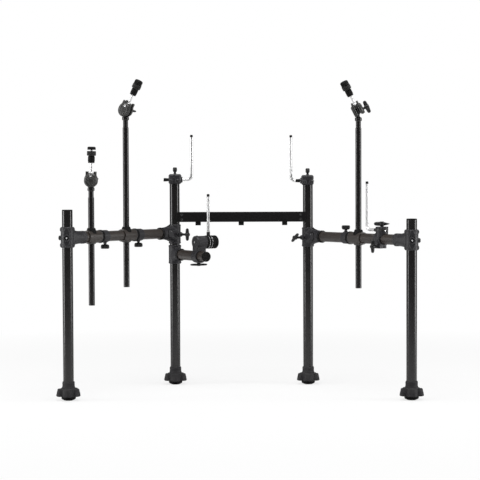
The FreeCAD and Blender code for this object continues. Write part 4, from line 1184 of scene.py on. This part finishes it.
class RACK_OT_pole_clamps(bpy.types.Operator):
    """The sleeves and rings that hold the cymbal poles, and their knobs"""
    bl_idname = "rack.pole_clamps"
    bl_label = "Pole clamps"

    def execute(self, context):
        for name, arm in ARMS.items():
            seat = Seat("pole_clamps_" + arm.side, arm.side + "_wing", on_wing(arm.side, arm.along))
            sleeve, ring = sorted(seat.solids(), key=lambda m: abs(middle(m).x))[:2]
            start = "pole_sleeve_" + name
            skin = carved(cast(sleeve, 0.9, 2), [block((-30, 30), (-30, 30), (-40, -23.4), 0)])
            seat.put(start, skin, "satin")
            cone = turned([(POLE_HOLE, 12.0), (20.7, 12.0), (17.6, 22.0), (14.6, 31.4), (13.6, 32.1),
                           (POLE_HOLE, 32.1)], 0.5, True, 48)
            seat.put(start + "_cone", cone, "sleeve")
            # painted reflection: the lip takes the pale-edged casting finish to stand for the floor's
            # reflection under the sleeve
            lip = turned([(POLE_HOLE, -26.0), (14.6, -26.0), (16.4, -24.6), (17.0, -21.4),
                          (POLE_HOLE, -21.4)], 0.5, True, 48)
            seat.put(start + "_lip", lip, "casting")
            seat.put(start + "_collar_out", pipe(23.3, RING_BORE, 24.6, 27.0, 0.7, 72), "satin", ALONG)
            seat.put(start + "_collar_in", pipe(24.3, RING_BORE, -49.0, -41.0, 0.7, 72), "sleeve", ALONG)
            seat.put("pole_ring_" + name, cast(ring, 0.8, 2), "charcoal")
            heads = fixings(cross_screw(2.8, 1.0), [((-58, 22.4, 0), Y), ((-58, -22.4, 0), -Y)])
            seat.put(f"pole_ring_{name}_screws", heads, "wing")
            self.knob(name, arm, seat.place)
        return {"FINISHED"}

    def knob(self, name, arm, place):
        way = SIDES[arm.side]
        at = place @ spot((-arm.knob, 0, way * 27.0), Z * way, (-0.62, 0.78, 0))
        seat = Seat("pole_knob_" + name, "knob_" + name, at)
        rings = [[(u, v, z) for u, v in oval(0.7, wide, thick)] for z, wide, thick in (
            (3.0, 9.0, 6.0), (4.4, 13.4, 7.8), (8.0, 15.4, 8.8), (15.0, 15.8, 8.9), (18.0, 14.8, 8.2),
            (19.2, 12.0, 6.0))]
        flute = moved(pin(2.4, 3, 22, 0.6, 16), Matrix.Translation((0, 10.4, 0)))
        flutes = [flute, moved(flute, Matrix.Rotation(math.pi, 4, "Z"))]
        skin = cast(joined(pin(5.0, 0.3, 4.4, 0.4, 32), lofted(rings)), 0.6, 2)
        seat.put("_grip", carved(skin, flutes), "wing")
        seat.put("_thread", threaded(BOLT_R, -7.6, 1.0), "thread")


class RACK_OT_poles(bpy.types.Operator):
    """The cymbal poles and the upper tubes that slide in them"""
    bl_idname = "rack.poles"
    bl_label = "Poles"

    def execute(self, context):
        radius = tubes().pole / MM / 2
        bore = radius - tubes().pole_wall / MM
        ball_r = 12.0
        for name, arm in ARMS.items():
            place = Matrix.Translation(arm_place(name))
            pole = Seat("cymbal_pole_" + name, "pole_" + name, place)
            pole.put("_tube", pipe(radius, bore, arm.bottom, arm.top, 0.5, 64), "enamel")
            seat = Seat("tilter_neck_" + name, "neck_" + name, place)
            upper = bore - FIT
            start = arm.top - 90
            low = arm.ball - 38.0
            high = arm.ball - 25.0
            stem = arm.ball - 9
            neck = turned([(0, start), (upper, start), (upper, low), (12.6, low + 2.4), (12.9, low + 4),
                           (12.9, high - 4.5), (12.3, high - 4.1), (12.3, high - 3.3), (12.9, high - 2.9),
                           (12.9, high), (7.2, high + 3), (5.5, high + 6), (5.5, stem), (0, stem)], 0.5)
            seat.put("_tube", neck, "enamel")
            angles = [math.pi * (k / 20 - 0.5) for k in range(1, 20)]
            outline = [(ball_r * math.cos(a), arm.ball + ball_r * math.sin(a)) for a in angles]
            ball = turned([(0, arm.ball - ball_r)] + outline + [(0, arm.ball + ball_r)], 0)
            seat.put("_ball", ball, "thread")
        return {"FINISHED"}


class RACK_OT_tilters(bpy.types.Operator):
    """The tilters with their rods, seats, nuts and wing bolts"""
    bl_idname = "rack.tilters"
    bl_label = "Tilters"

    def execute(self, context):
        for name, arm in ARMS.items():
            place = on_tilter(name)
            body = "tilter_" + name
            self.jaws(Seat("tilter_jaws_" + name, body, place), arm.behind)
            self.rod(Seat("tilt_rod_" + name, body, place))
            bolt = place @ spot((0, 19.0, 0), Y, (0.94, 0, 0.34) if arm.behind else Z)
            add_wing_bolt("tilter_bolt_" + name, "tilter_wing_" + name, bolt, 8.0, 6.7, span=50.0)
            nut = turned([(0, arm.nut), (14.2, arm.nut), (15.2, arm.nut + 1.1), (15.2, 120.4), (12.8, 123.4),
                          (9.0, 123.9), (7.6, 122.9), (3.0, 122.7), (0, 122.7)], 0.5)
            groove = moved(pin(1.5, 110.5, 122, 0, 12), Matrix.Translation((16.1, 0, 0)))
            cap = carved(nut, [round_row(groove, 18)])
            Seat("cymbal_nut_" + name, "nut_" + name, place).put("_cap", cap, "sleeve")
        return {"FINISHED"}

    def jaws(self, seat, rounded):
        horn = spot((0, 0, HORN), Y, Z)
        for part in seat.solids():
            at = middle(part)
            if abs(at.y) < 2:
                continue
            way = 1 if at.y > 0 else -1
            face = spot((0, 0, 0), Y * way, Z)
            extras = [moved(pin(7.5, 17, 20.4, 0.8, 64), face)]
            if rounded:
                shell = turned([(0, 6.6), (23.0, 6.6), (24.3, 8.0), (24.3, 14.0), (19.3, 18.9),
                                (0, 18.9)], 0.6)
                extras.append(moved(shell, face))
            slope = spot((0, 0, 4), Y * way, X * way + Z)
            for step in range(-2, 3):
                off = step * 6.4
                reach = math.sqrt(19.5 ** 2 - off ** 2)
                ridge = block((-reach, reach), (-1.3, 1.3), (16.5, 20.4), 0.5)
                extras.append(moved(ridge, slope @ Matrix.Translation((0, off, 0))))
            # the bore that the pin and the bolt pass through is cut again after the features are added
            holes = [moved(pin(3.1, -30, 30, 0, 24), horn)]
            if way > 0:
                holes.append(moved(pin(4.0, 0, 30, 0, 24), spot((0, 0, 0), Y, Z)))
            skin = carved(cast(joined(part, *extras), 0.8, 2), holes)
            seat.put("_back" if way > 0 else "_front", skin, "casting")
        heads = fixings(socket_screw(4.6, 2.0, 2.0), [((0, 18.9, HORN), Y), ((0, -18.9, HORN), -Y)])
        seat.put("_pin", joined(heads, moved(pin(3.0, -19, 19, 0.3, 24), horn)), "steel")

    def rod(self, seat):
        upper = [m for m in seat.solids() if middle(m).z > 0]
        lug = min(upper, key=lambda m: min(v.co.z for v in m.vertices))
        base = carved(lug, [block((-30, 30), (-30, 30), (26.0, 200), 0)])
        seat.put("_lug", cast(base, 0.7, 2), "casting")
        radius = tubes().tilt_rod / MM / 2
        shaft = turned([(0, 24.0), (5.6, 24.0), (5.6, 29.0), (radius, 31.0), (radius, 92.0), (0, 92.0)], 0.6,
                       around=40)
        seat.put("_shaft", shaft, "chrome")
        seat.put("_thread", threaded(radius - 0.05, 90.0, 121.5), "steel")
        hole = radius + 0.1
        sleeve = turned([(hole, 64.5), (11.9, 64.5), (11.9, 66.5), (11.3, 67.0), (11.3, 68.0), (11.9, 68.5),
                         (11.9, 88.0), (11.2, 90.9), (hole, 90.9)], 0.5, True)
        ribs = round_row(block((-1.1, 1.1), (11.0, 12.6), (70, 87), 0.3), 14)
        seat.put("_sleeve", cast(joined(sleeve, ribs), 0.55, 2), "sleeve")
        washer = turned([(hole, 91.1), (15.4, 91.1), (16.5, 92.6), (16.6, 99.0), (16.1, 99.5), (16.1, 99.8),
                         (16.6, 100.3), (16.4, 106.6), (15.2, 107.9), (hole, 107.9)], 0.5, True)
        seat.put("_felt", washer, "felt")


def rod_tip(radius):
    """The dark tip of a rod, which ends at the origin."""
    return turned([(0, FIT - TIP), (radius, FIT - TIP), (radius, -1.5), (radius - 1.5, 0), (0, 0)], 0.6,
                  around=40)


def add_rod(seat, path):
    """A chrome rod along a path that ends upright, with its dark tip."""
    radius = tubes().rod / MM / 2
    end = Vector(path[-1])
    if len(path) > 2:
        shaft = bent_rod(list(path[:-1]) + [end - Z * TIP], radius, tubes().bend / MM)
    else:
        start = Vector(path[0])
        shaft = moved(pin(radius, 0, (end - start).length - TIP, 0.5, 40), Matrix.Translation(start))
    seat.put("_shaft", shaft, "chrome")
    seat.put("_tip", rod_tip(radius), "sleeve", Matrix.Translation(end))


class RACK_OT_tom_holders(bpy.types.Operator):
    """The heads on the centre posts, with their bent rods, collars and wing bolts"""
    bl_idname = "rack.tom_holders"
    bl_label = "Tom holders"

    def execute(self, context):
        for side in SIDES:
            seat = Seat("tom_holder_" + side, "tom_head_" + side, on_tom(side))
            lobes = [moved(pin(7.0, 20, 26.3, 1.0, 32), spot((x, 0, -5), -Y, Z)) for x in (-13, 13)]
            skin = cast(joined(seat.solids()[0], *lobes), 0.9, 3)
            seat.put("_casting", carved(skin, [block((-1.1, 1.1), (-30, -17), (-30, 40), 0)]), "charcoal")
            heads = fixings(socket_screw(3.6, 1.6, 1.9), [((x, -25.6, -5), -Y) for x in (-13, 13)])
            seat.put("_screws", heads, "wing")
            bolt = seat.place @ spot((0, 31.0, 22.0), Z, Y)
            add_wing_bolt("tom_holder_bolt_" + side, "tom_wing_" + side, bolt, 9.0, 16.4, thickness=12.5)
            self.rod(side, seat.place)
        return {"FINISHED"}

    def rod(self, side, place):
        seat = Seat("tom_rod_" + side, "tom_arm_" + side, place)
        radius = tubes().rod / MM / 2
        top = TOM_TOP[side] - TOM_Z[side]
        tail, low, high = (45.5, -43.8, -22.3) if side == "left" else (25.0, 29.3, 46.8)
        add_rod(seat, [(-tail, 31, 0), (64.5, 31, 0), (64.5, 31, top)])
        half = (low + high) / 2
        hole = radius + FIT
        collar = turned([(hole, low), (6.6, low), (6.6, half), (6.0, half + 0.6), (6.0, high), (hole, high)],
                        0.35, True, 40)
        on_rod = spot((0, 31, 0), X, Y)
        seat.put("_collar", collar, "sleeve", on_rod)
        screw = moved(socket_screw(2.2, 1.0, 1.1), spot((6.2, 0, low + 4), X, Z))
        seat.put("_collar_screw", screw, "steel", on_rod)


class RACK_OT_snare_arm(bpy.types.Operator):
    """The snare arm's tube, bracket, barrel, rod and wing bolt"""
    bl_idname = "rack.snare_arm"
    bl_label = "Snare arm"

    def execute(self, context):
        radius, bore = tube_radii()
        end = SNARE_TUBE_END
        stop = end - 5
        plug = bore - FIT
        seat = Seat("snare_tube", "snare_arm", on_snare())
        seat.put("_pipe", pipe(radius, bore, TUBE_START, stop, 0.4, 96), "satin", ALONG)
        cap = turned([(0, end - 19), (plug, end - 19), (plug, stop + FIT), (radius, stop + FIT),
                      (radius, end - 1.6), (radius - 1.6, end), (13.0, end), (12.2, end - 0.7),
                      (4.0, end - 0.7), (0, end - 0.4)], 0.5)
        seat.put("_cap", cap, "sleeve", ALONG)
        place = on_snare(SNARE_BRACKET_AT)
        seat = Seat("snare_bracket", "snare_bracket", place)
        rims = [moved(rim(24.6, low, low + 4, 0.8), ALONG) for low in (-17.5, 13.5)]
        drum = spot((0, 0, 52), Y, X)
        band = moved(pipe(24.9, 20, -12, -7, 0.6), drum)
        skin = cast(joined(seat.solids()[0], *rims, band), 0.95, 3)
        bore = moved(pin(TUBE_HOLE, -40, 40, 0, 96), ALONG)
        seat.put("_casting", carved(skin, [bore]), "charcoal")
        heads = fixings(socket_screw(3.4, 1.6, 1.8), [((0, -16.8, 52), -Y), ((-10, -2, 75.4), (-0.4, 0, 1))])
        seat.put("_screws", heads, "steel")
        rod_y = 42
        self.barrel(Seat("snare_barrel", "snare_barrel", place), drum, rod_y)
        rod = Seat("snare_rod", "snare_rod", place)
        add_rod(rod, [(0, rod_y, 32.3), (0, rod_y, 233.0)])
        rod.put("_stop", pipe(6.6, 5.3, 77.3, 90.3, 0.4, 40), "wing", Matrix.Translation((0, rod_y, 0)))
        bolt = place @ spot((0, 0, -25.1), -Z, (0.3, 0.95, 0))
        add_wing_bolt("snare_bracket_bolt", "snare_wing", bolt, 2.4, 5.7, span=66.0, depth=9.0,
                      thickness=13.0)
        return {"FINISHED"}

    def barrel(self, seat, drum, rod_y):
        outline = [(0, 9.0), (8.0, 9.0), (8.0, 27.3), (25.0, 27.3), (25.0, 36.0), (23.2, 37.0), (23.2, 38.4),
                   (25.0, 39.4), (25.0, 46.6), (23.2, 47.6), (23.2, 49.0), (25.0, 50.0), (25.0, 60.0),
                   (23.0, 62.0), (23.0, 64.0), (25.0, 65.0), (24.0, 73.0), (21.0, 76.0), (12.0, 76.0),
                   (11.0, 75.0), (0, 75.0)]
        ribs = round_row(block((23.0, 25.0), (-1.2, 1.2), (64.5, 72.0), 0.4), 20)
        at_rod = Matrix.Translation((0, rod_y, 0))
        skin = cast(joined(moved(turned(outline, 0.6, around=80), drum), moved(ribs, drum)), 0.8, 2)
        hole = moved(pin(ROD_HOLE, 32.0, 80.0, 0, 40), at_rod)
        seat.put("_grip", carved(skin, [hole]), "sleeve")
        for i, low in enumerate((36.9, 47.5)):
            seat.put(f"_hoop_{i}", pipe(24.3, 20, low, low + 1.6, 0.4, 72), "steel", drum)
        ring = turned([(5.4, 76.2), (9.0, 76.2), (9.0, 77.0), (5.4, 77.6)], 0.3, True, 40)
        seat.put("_ring", ring, "charcoal", at_rod)


class RACK_OT_rod_holder(bpy.types.Operator):
    """The holder on the right side tube with its bent rod and its two wing bolts"""
    bl_idname = "rack.rod_holder"
    bl_label = "Rod holder"

    def execute(self, context):
        place = on_wing("right", HOLDER_AT)
        seat = Seat("right_rod_holder", "rod_holder", place)
        rod_z = 33
        on_rod = spot((0, 0, rod_z), X, Y)
        drum = Matrix.Translation((6, 0, 0))
        rims = [moved(rim(24.6, low, low + 3.5, 0.8), ALONG) for low in (-16.6, 13.1)]
        crown = moved(rim(22.5, 40.5, 44.5, 0.7), drum)
        skin = cast(joined(seat.solids()[0], *rims, crown), 0.95, 2)
        bores = [moved(pin(TUBE_HOLE, -40, 40, 0, 96), ALONG), moved(pin(ROD_HOLE, -40, 40, 0, 40), on_rod),
                 block((-30, 30), (-1.5, 1.5), (-50, -18.4), 0)]
        seat.put("_casting", carved(skin, bores), "charcoal")
        seat.put("_band", pipe(23.1, 21.8, 32.2, 38.6, 0.4, 72), "casting", drum)
        heads = fixings(socket_screw(3.4, 1.6, 1.8), [((x, -13.0, -26), -Y) for x in (10, -10)])
        seat.put("_screws", heads, "wing")
        rod = Seat("right_rod", "holder_rod", place)
        add_rod(rod, [(24, 0, rod_z), (-75.5, 0, rod_z), (-75.5, 0, 210.5)])
        rod.put("_collar", pipe(6.6, ROD_HOLE, -30.8, -16.8, 0.4, 40), "wing", on_rod)
        top = place @ spot((6, 0, 45.5), Z, (0.82, -0.56, 0))
        add_wing_bolt("right_rod_bolt", "holder_top_wing", top, 2.5, 6.9, span=60.0, point=0.8)
        pinch = place @ spot((0, 21.0, -26.0), Y, Z)
        add_wing_bolt("right_clamp_bolt", "holder_clamp_wing", pinch, 11.0, 34.0, span=47.0, thickness=12.0)
        return {"FINISHED"}


class RACK_OT_clamp_bolts(bpy.types.Operator):
    """The wing bolts of the centre clamps"""
    bl_idname = "rack.clamp_bolts"
    bl_label = "Clamp bolts"

    def execute(self, context):
        for side in SIDES:
            across = Z if side == "left" else Vector((0.75, 0, 0.66))
            place = on_wing(side, 0) @ spot((0, 34.0, -4.5), Y, across)
            add_wing_bolt("center_clamp_bolt_" + side, "clamp_wing_" + side, place, 22.0, 14.6,
                          thickness=11.0)
        return {"FINISHED"}


# ---- The studio


def camera_axes():
    """The camera's right, up and back, from its heading, dip and roll."""
    heading, dip, roll = (math.radians(a) for a in CAMERA_TURN)
    forward = Vector((math.sin(heading) * math.cos(dip), math.cos(heading) * math.cos(dip), -math.sin(dip)))
    right = forward.cross(Z).normalized()
    up = right.cross(forward)
    c, s = math.cos(roll), math.sin(roll)
    return right * c + up * s, up * c - right * s, -forward


def lamp(name, place, target, size, power):
    """A soft rectangular lamp that faces a target."""
    data = bpy.data.lights.new(name, "AREA")
    data.shape = "RECTANGLE"
    data.size, data.size_y = size
    data.energy = power
    lamp_object = bpy.data.objects.new(name, data)
    lamp_object.location = place
    lamp_object.rotation_mode = "QUATERNION"
    lamp_object.rotation_quaternion = (Vector(place) - Vector(target)).to_track_quat("Z", "Y")
    bpy.context.scene.collection.objects.link(lamp_object)


def floor_material():
    """A pale floor that keeps the rack's shadow and runs into the white background."""
    f = Finish("studio_floor")
    cloud = f.noise(0.4, 3.0)
    tone = f.mix(cloud, (0.80, 0.80, 0.80, 1), (0.84, 0.84, 0.84, 1))
    paint = f.add("ShaderNodeBsdfDiffuse", {}, {"Color": tone})
    glow = f.add("ShaderNodeEmission", {}, {"Color": (1, 1, 1, 1), "Strength": 1.0})
    away = f.add("ShaderNodeVectorMath", {"operation": "LENGTH"}, {0: f.place}, output="Value")
    share = 0.75 + f.ramp(away, 0.8, 2.6) * 0.25
    surface = f.mix_shaders(f.ray("Camera") * share, paint, glow)
    f.add("ShaderNodeOutputMaterial", {}, {"Surface": surface})
    return f.material


def room(strength):
    """White to the camera, greys that brighten to the back for shiny faces, an even light for the rest."""
    world = bpy.data.worlds.new("studio_room")
    world.use_nodes = True
    f = Nodes(world.node_tree)
    depth = f.add("ShaderNodeSeparateXYZ", {}, {0: f.add("ShaderNodeTexCoord")}, output="Y")
    even = f.add("ShaderNodeBackground", {}, {"Strength": strength})
    gleam = f.add("ShaderNodeBackground", {}, {"Strength": f.ramp(depth, -0.25, 0.35, 0.11, 0.32)})
    seen = f.add("ShaderNodeBackground", {}, {"Color": (1, 1, 1, 1), "Strength": 1.0})
    lit = f.mix_shaders(f.ray("Glossy"), even, gleam)
    f.add("ShaderNodeOutputWorld", {}, {"Surface": f.mix_shaders(f.ray("Camera"), lit, seen)})
    bpy.context.scene.world = world


class RACK_OT_stage(bpy.types.Operator):
    """The camera, the lamps, the pale floor and the white room"""
    bl_idname = "rack.stage"
    bl_label = "Studio"

    def execute(self, context):
        scene = context.scene
        studio = scene.rack_studio
        data = bpy.data.cameras.new("camera")
        data.sensor_width = 36.0
        data.lens = studio.focal
        data.clip_end = 100.0
        camera = bpy.data.objects.new("camera", data)
        right, up, back = camera_axes()
        turn = Matrix((right, up, back)).transposed()
        camera.rotation_mode = "QUATERNION"
        camera.rotation_quaternion = turn.to_quaternion()
        camera.location = Vector(CAMERA_AT) * MM
        scene.collection.objects.link(camera)
        scene.camera = camera

        bm = bmesh.new()
        bmesh.ops.create_grid(bm, x_segments=8, y_segments=8, size=30.0)
        floor_mesh = bpy.data.meshes.new("studio_floor")
        bm.to_mesh(floor_mesh)
        bm.free()
        floor_mesh.materials.append(floor_material())
        floor = bpy.data.objects.new("studio_floor", floor_mesh)
        scene.collection.objects.link(floor)

        for side, word in ((-1, "left"), (1, "right")):
            lamp("lamp_" + word, (side * 3.1, -0.5, 1.0), (0, 0, 0.6), (0.9, 2.6), studio.side_light)
        lamp("lamp_top", (0.0, -0.9, 3.6), (0, 0, 0.5), (3.0, 2.2), studio.top_light)
        room(studio.fill)
        scene.view_settings.view_transform = "Standard"
        return {"FINISHED"}


class RACK_PT_panel(bpy.types.Panel):
    """The rack's settings and the buttons that build it"""
    bl_idname = "RACK_PT_panel"
    bl_label = "Drum rack frame"
    bl_space_type = "VIEW_3D"
    bl_region_type = "UI"
    bl_category = "Rack"

    def draw(self, context):
        scene = context.scene
        for label, group in (("Tubes", scene.rack_tubes), ("Castings", scene.rack_castings),
                             ("Finishes", scene.rack_finishes), ("Studio", scene.rack_studio)):
            box = self.layout.box()
            box.label(text=label)
            for key in group.__annotations__:
                box.prop(group, key)
        for operator in OPERATORS:
            self.layout.operator(operator.bl_idname)


OPERATORS = (RACK_OT_stage, RACK_OT_posts, RACK_OT_feet, RACK_OT_cross_bar, RACK_OT_post_clamps,
             RACK_OT_side_tubes, RACK_OT_pole_clamps, RACK_OT_poles, RACK_OT_tilters, RACK_OT_tom_holders,
             RACK_OT_snare_arm, RACK_OT_rod_holder, RACK_OT_clamp_bolts)
GROUPS = {"rack_tubes": RackTubes, "rack_castings": RackCastings, "rack_finishes": RackFinishes,
          "rack_studio": RackStudio}


def register():
    for group in GROUPS.values():
        bpy.utils.register_class(group)
    for key, group in GROUPS.items():
        setattr(bpy.types.Scene, key, bpy.props.PointerProperty(type=group))
    for operator in OPERATORS:
        bpy.utils.register_class(operator)
    bpy.utils.register_class(RACK_PT_panel)


def unregister():
    bpy.utils.unregister_class(RACK_PT_panel)
    for operator in reversed(OPERATORS):
        bpy.utils.unregister_class(operator)
    for key in GROUPS:
        delattr(bpy.types.Scene, key)
    for group in reversed(list(GROUPS.values())):
        bpy.utils.unregister_class(group)


def main():
    """Builds the whole rack."""
    register()
    make_finishes()
    make_trees()
    for operator in OPERATORS:
        name = operator.bl_idname.split(".")[1]
        getattr(bpy.ops.rack, name)()


if __name__ == "__main__":
    main()
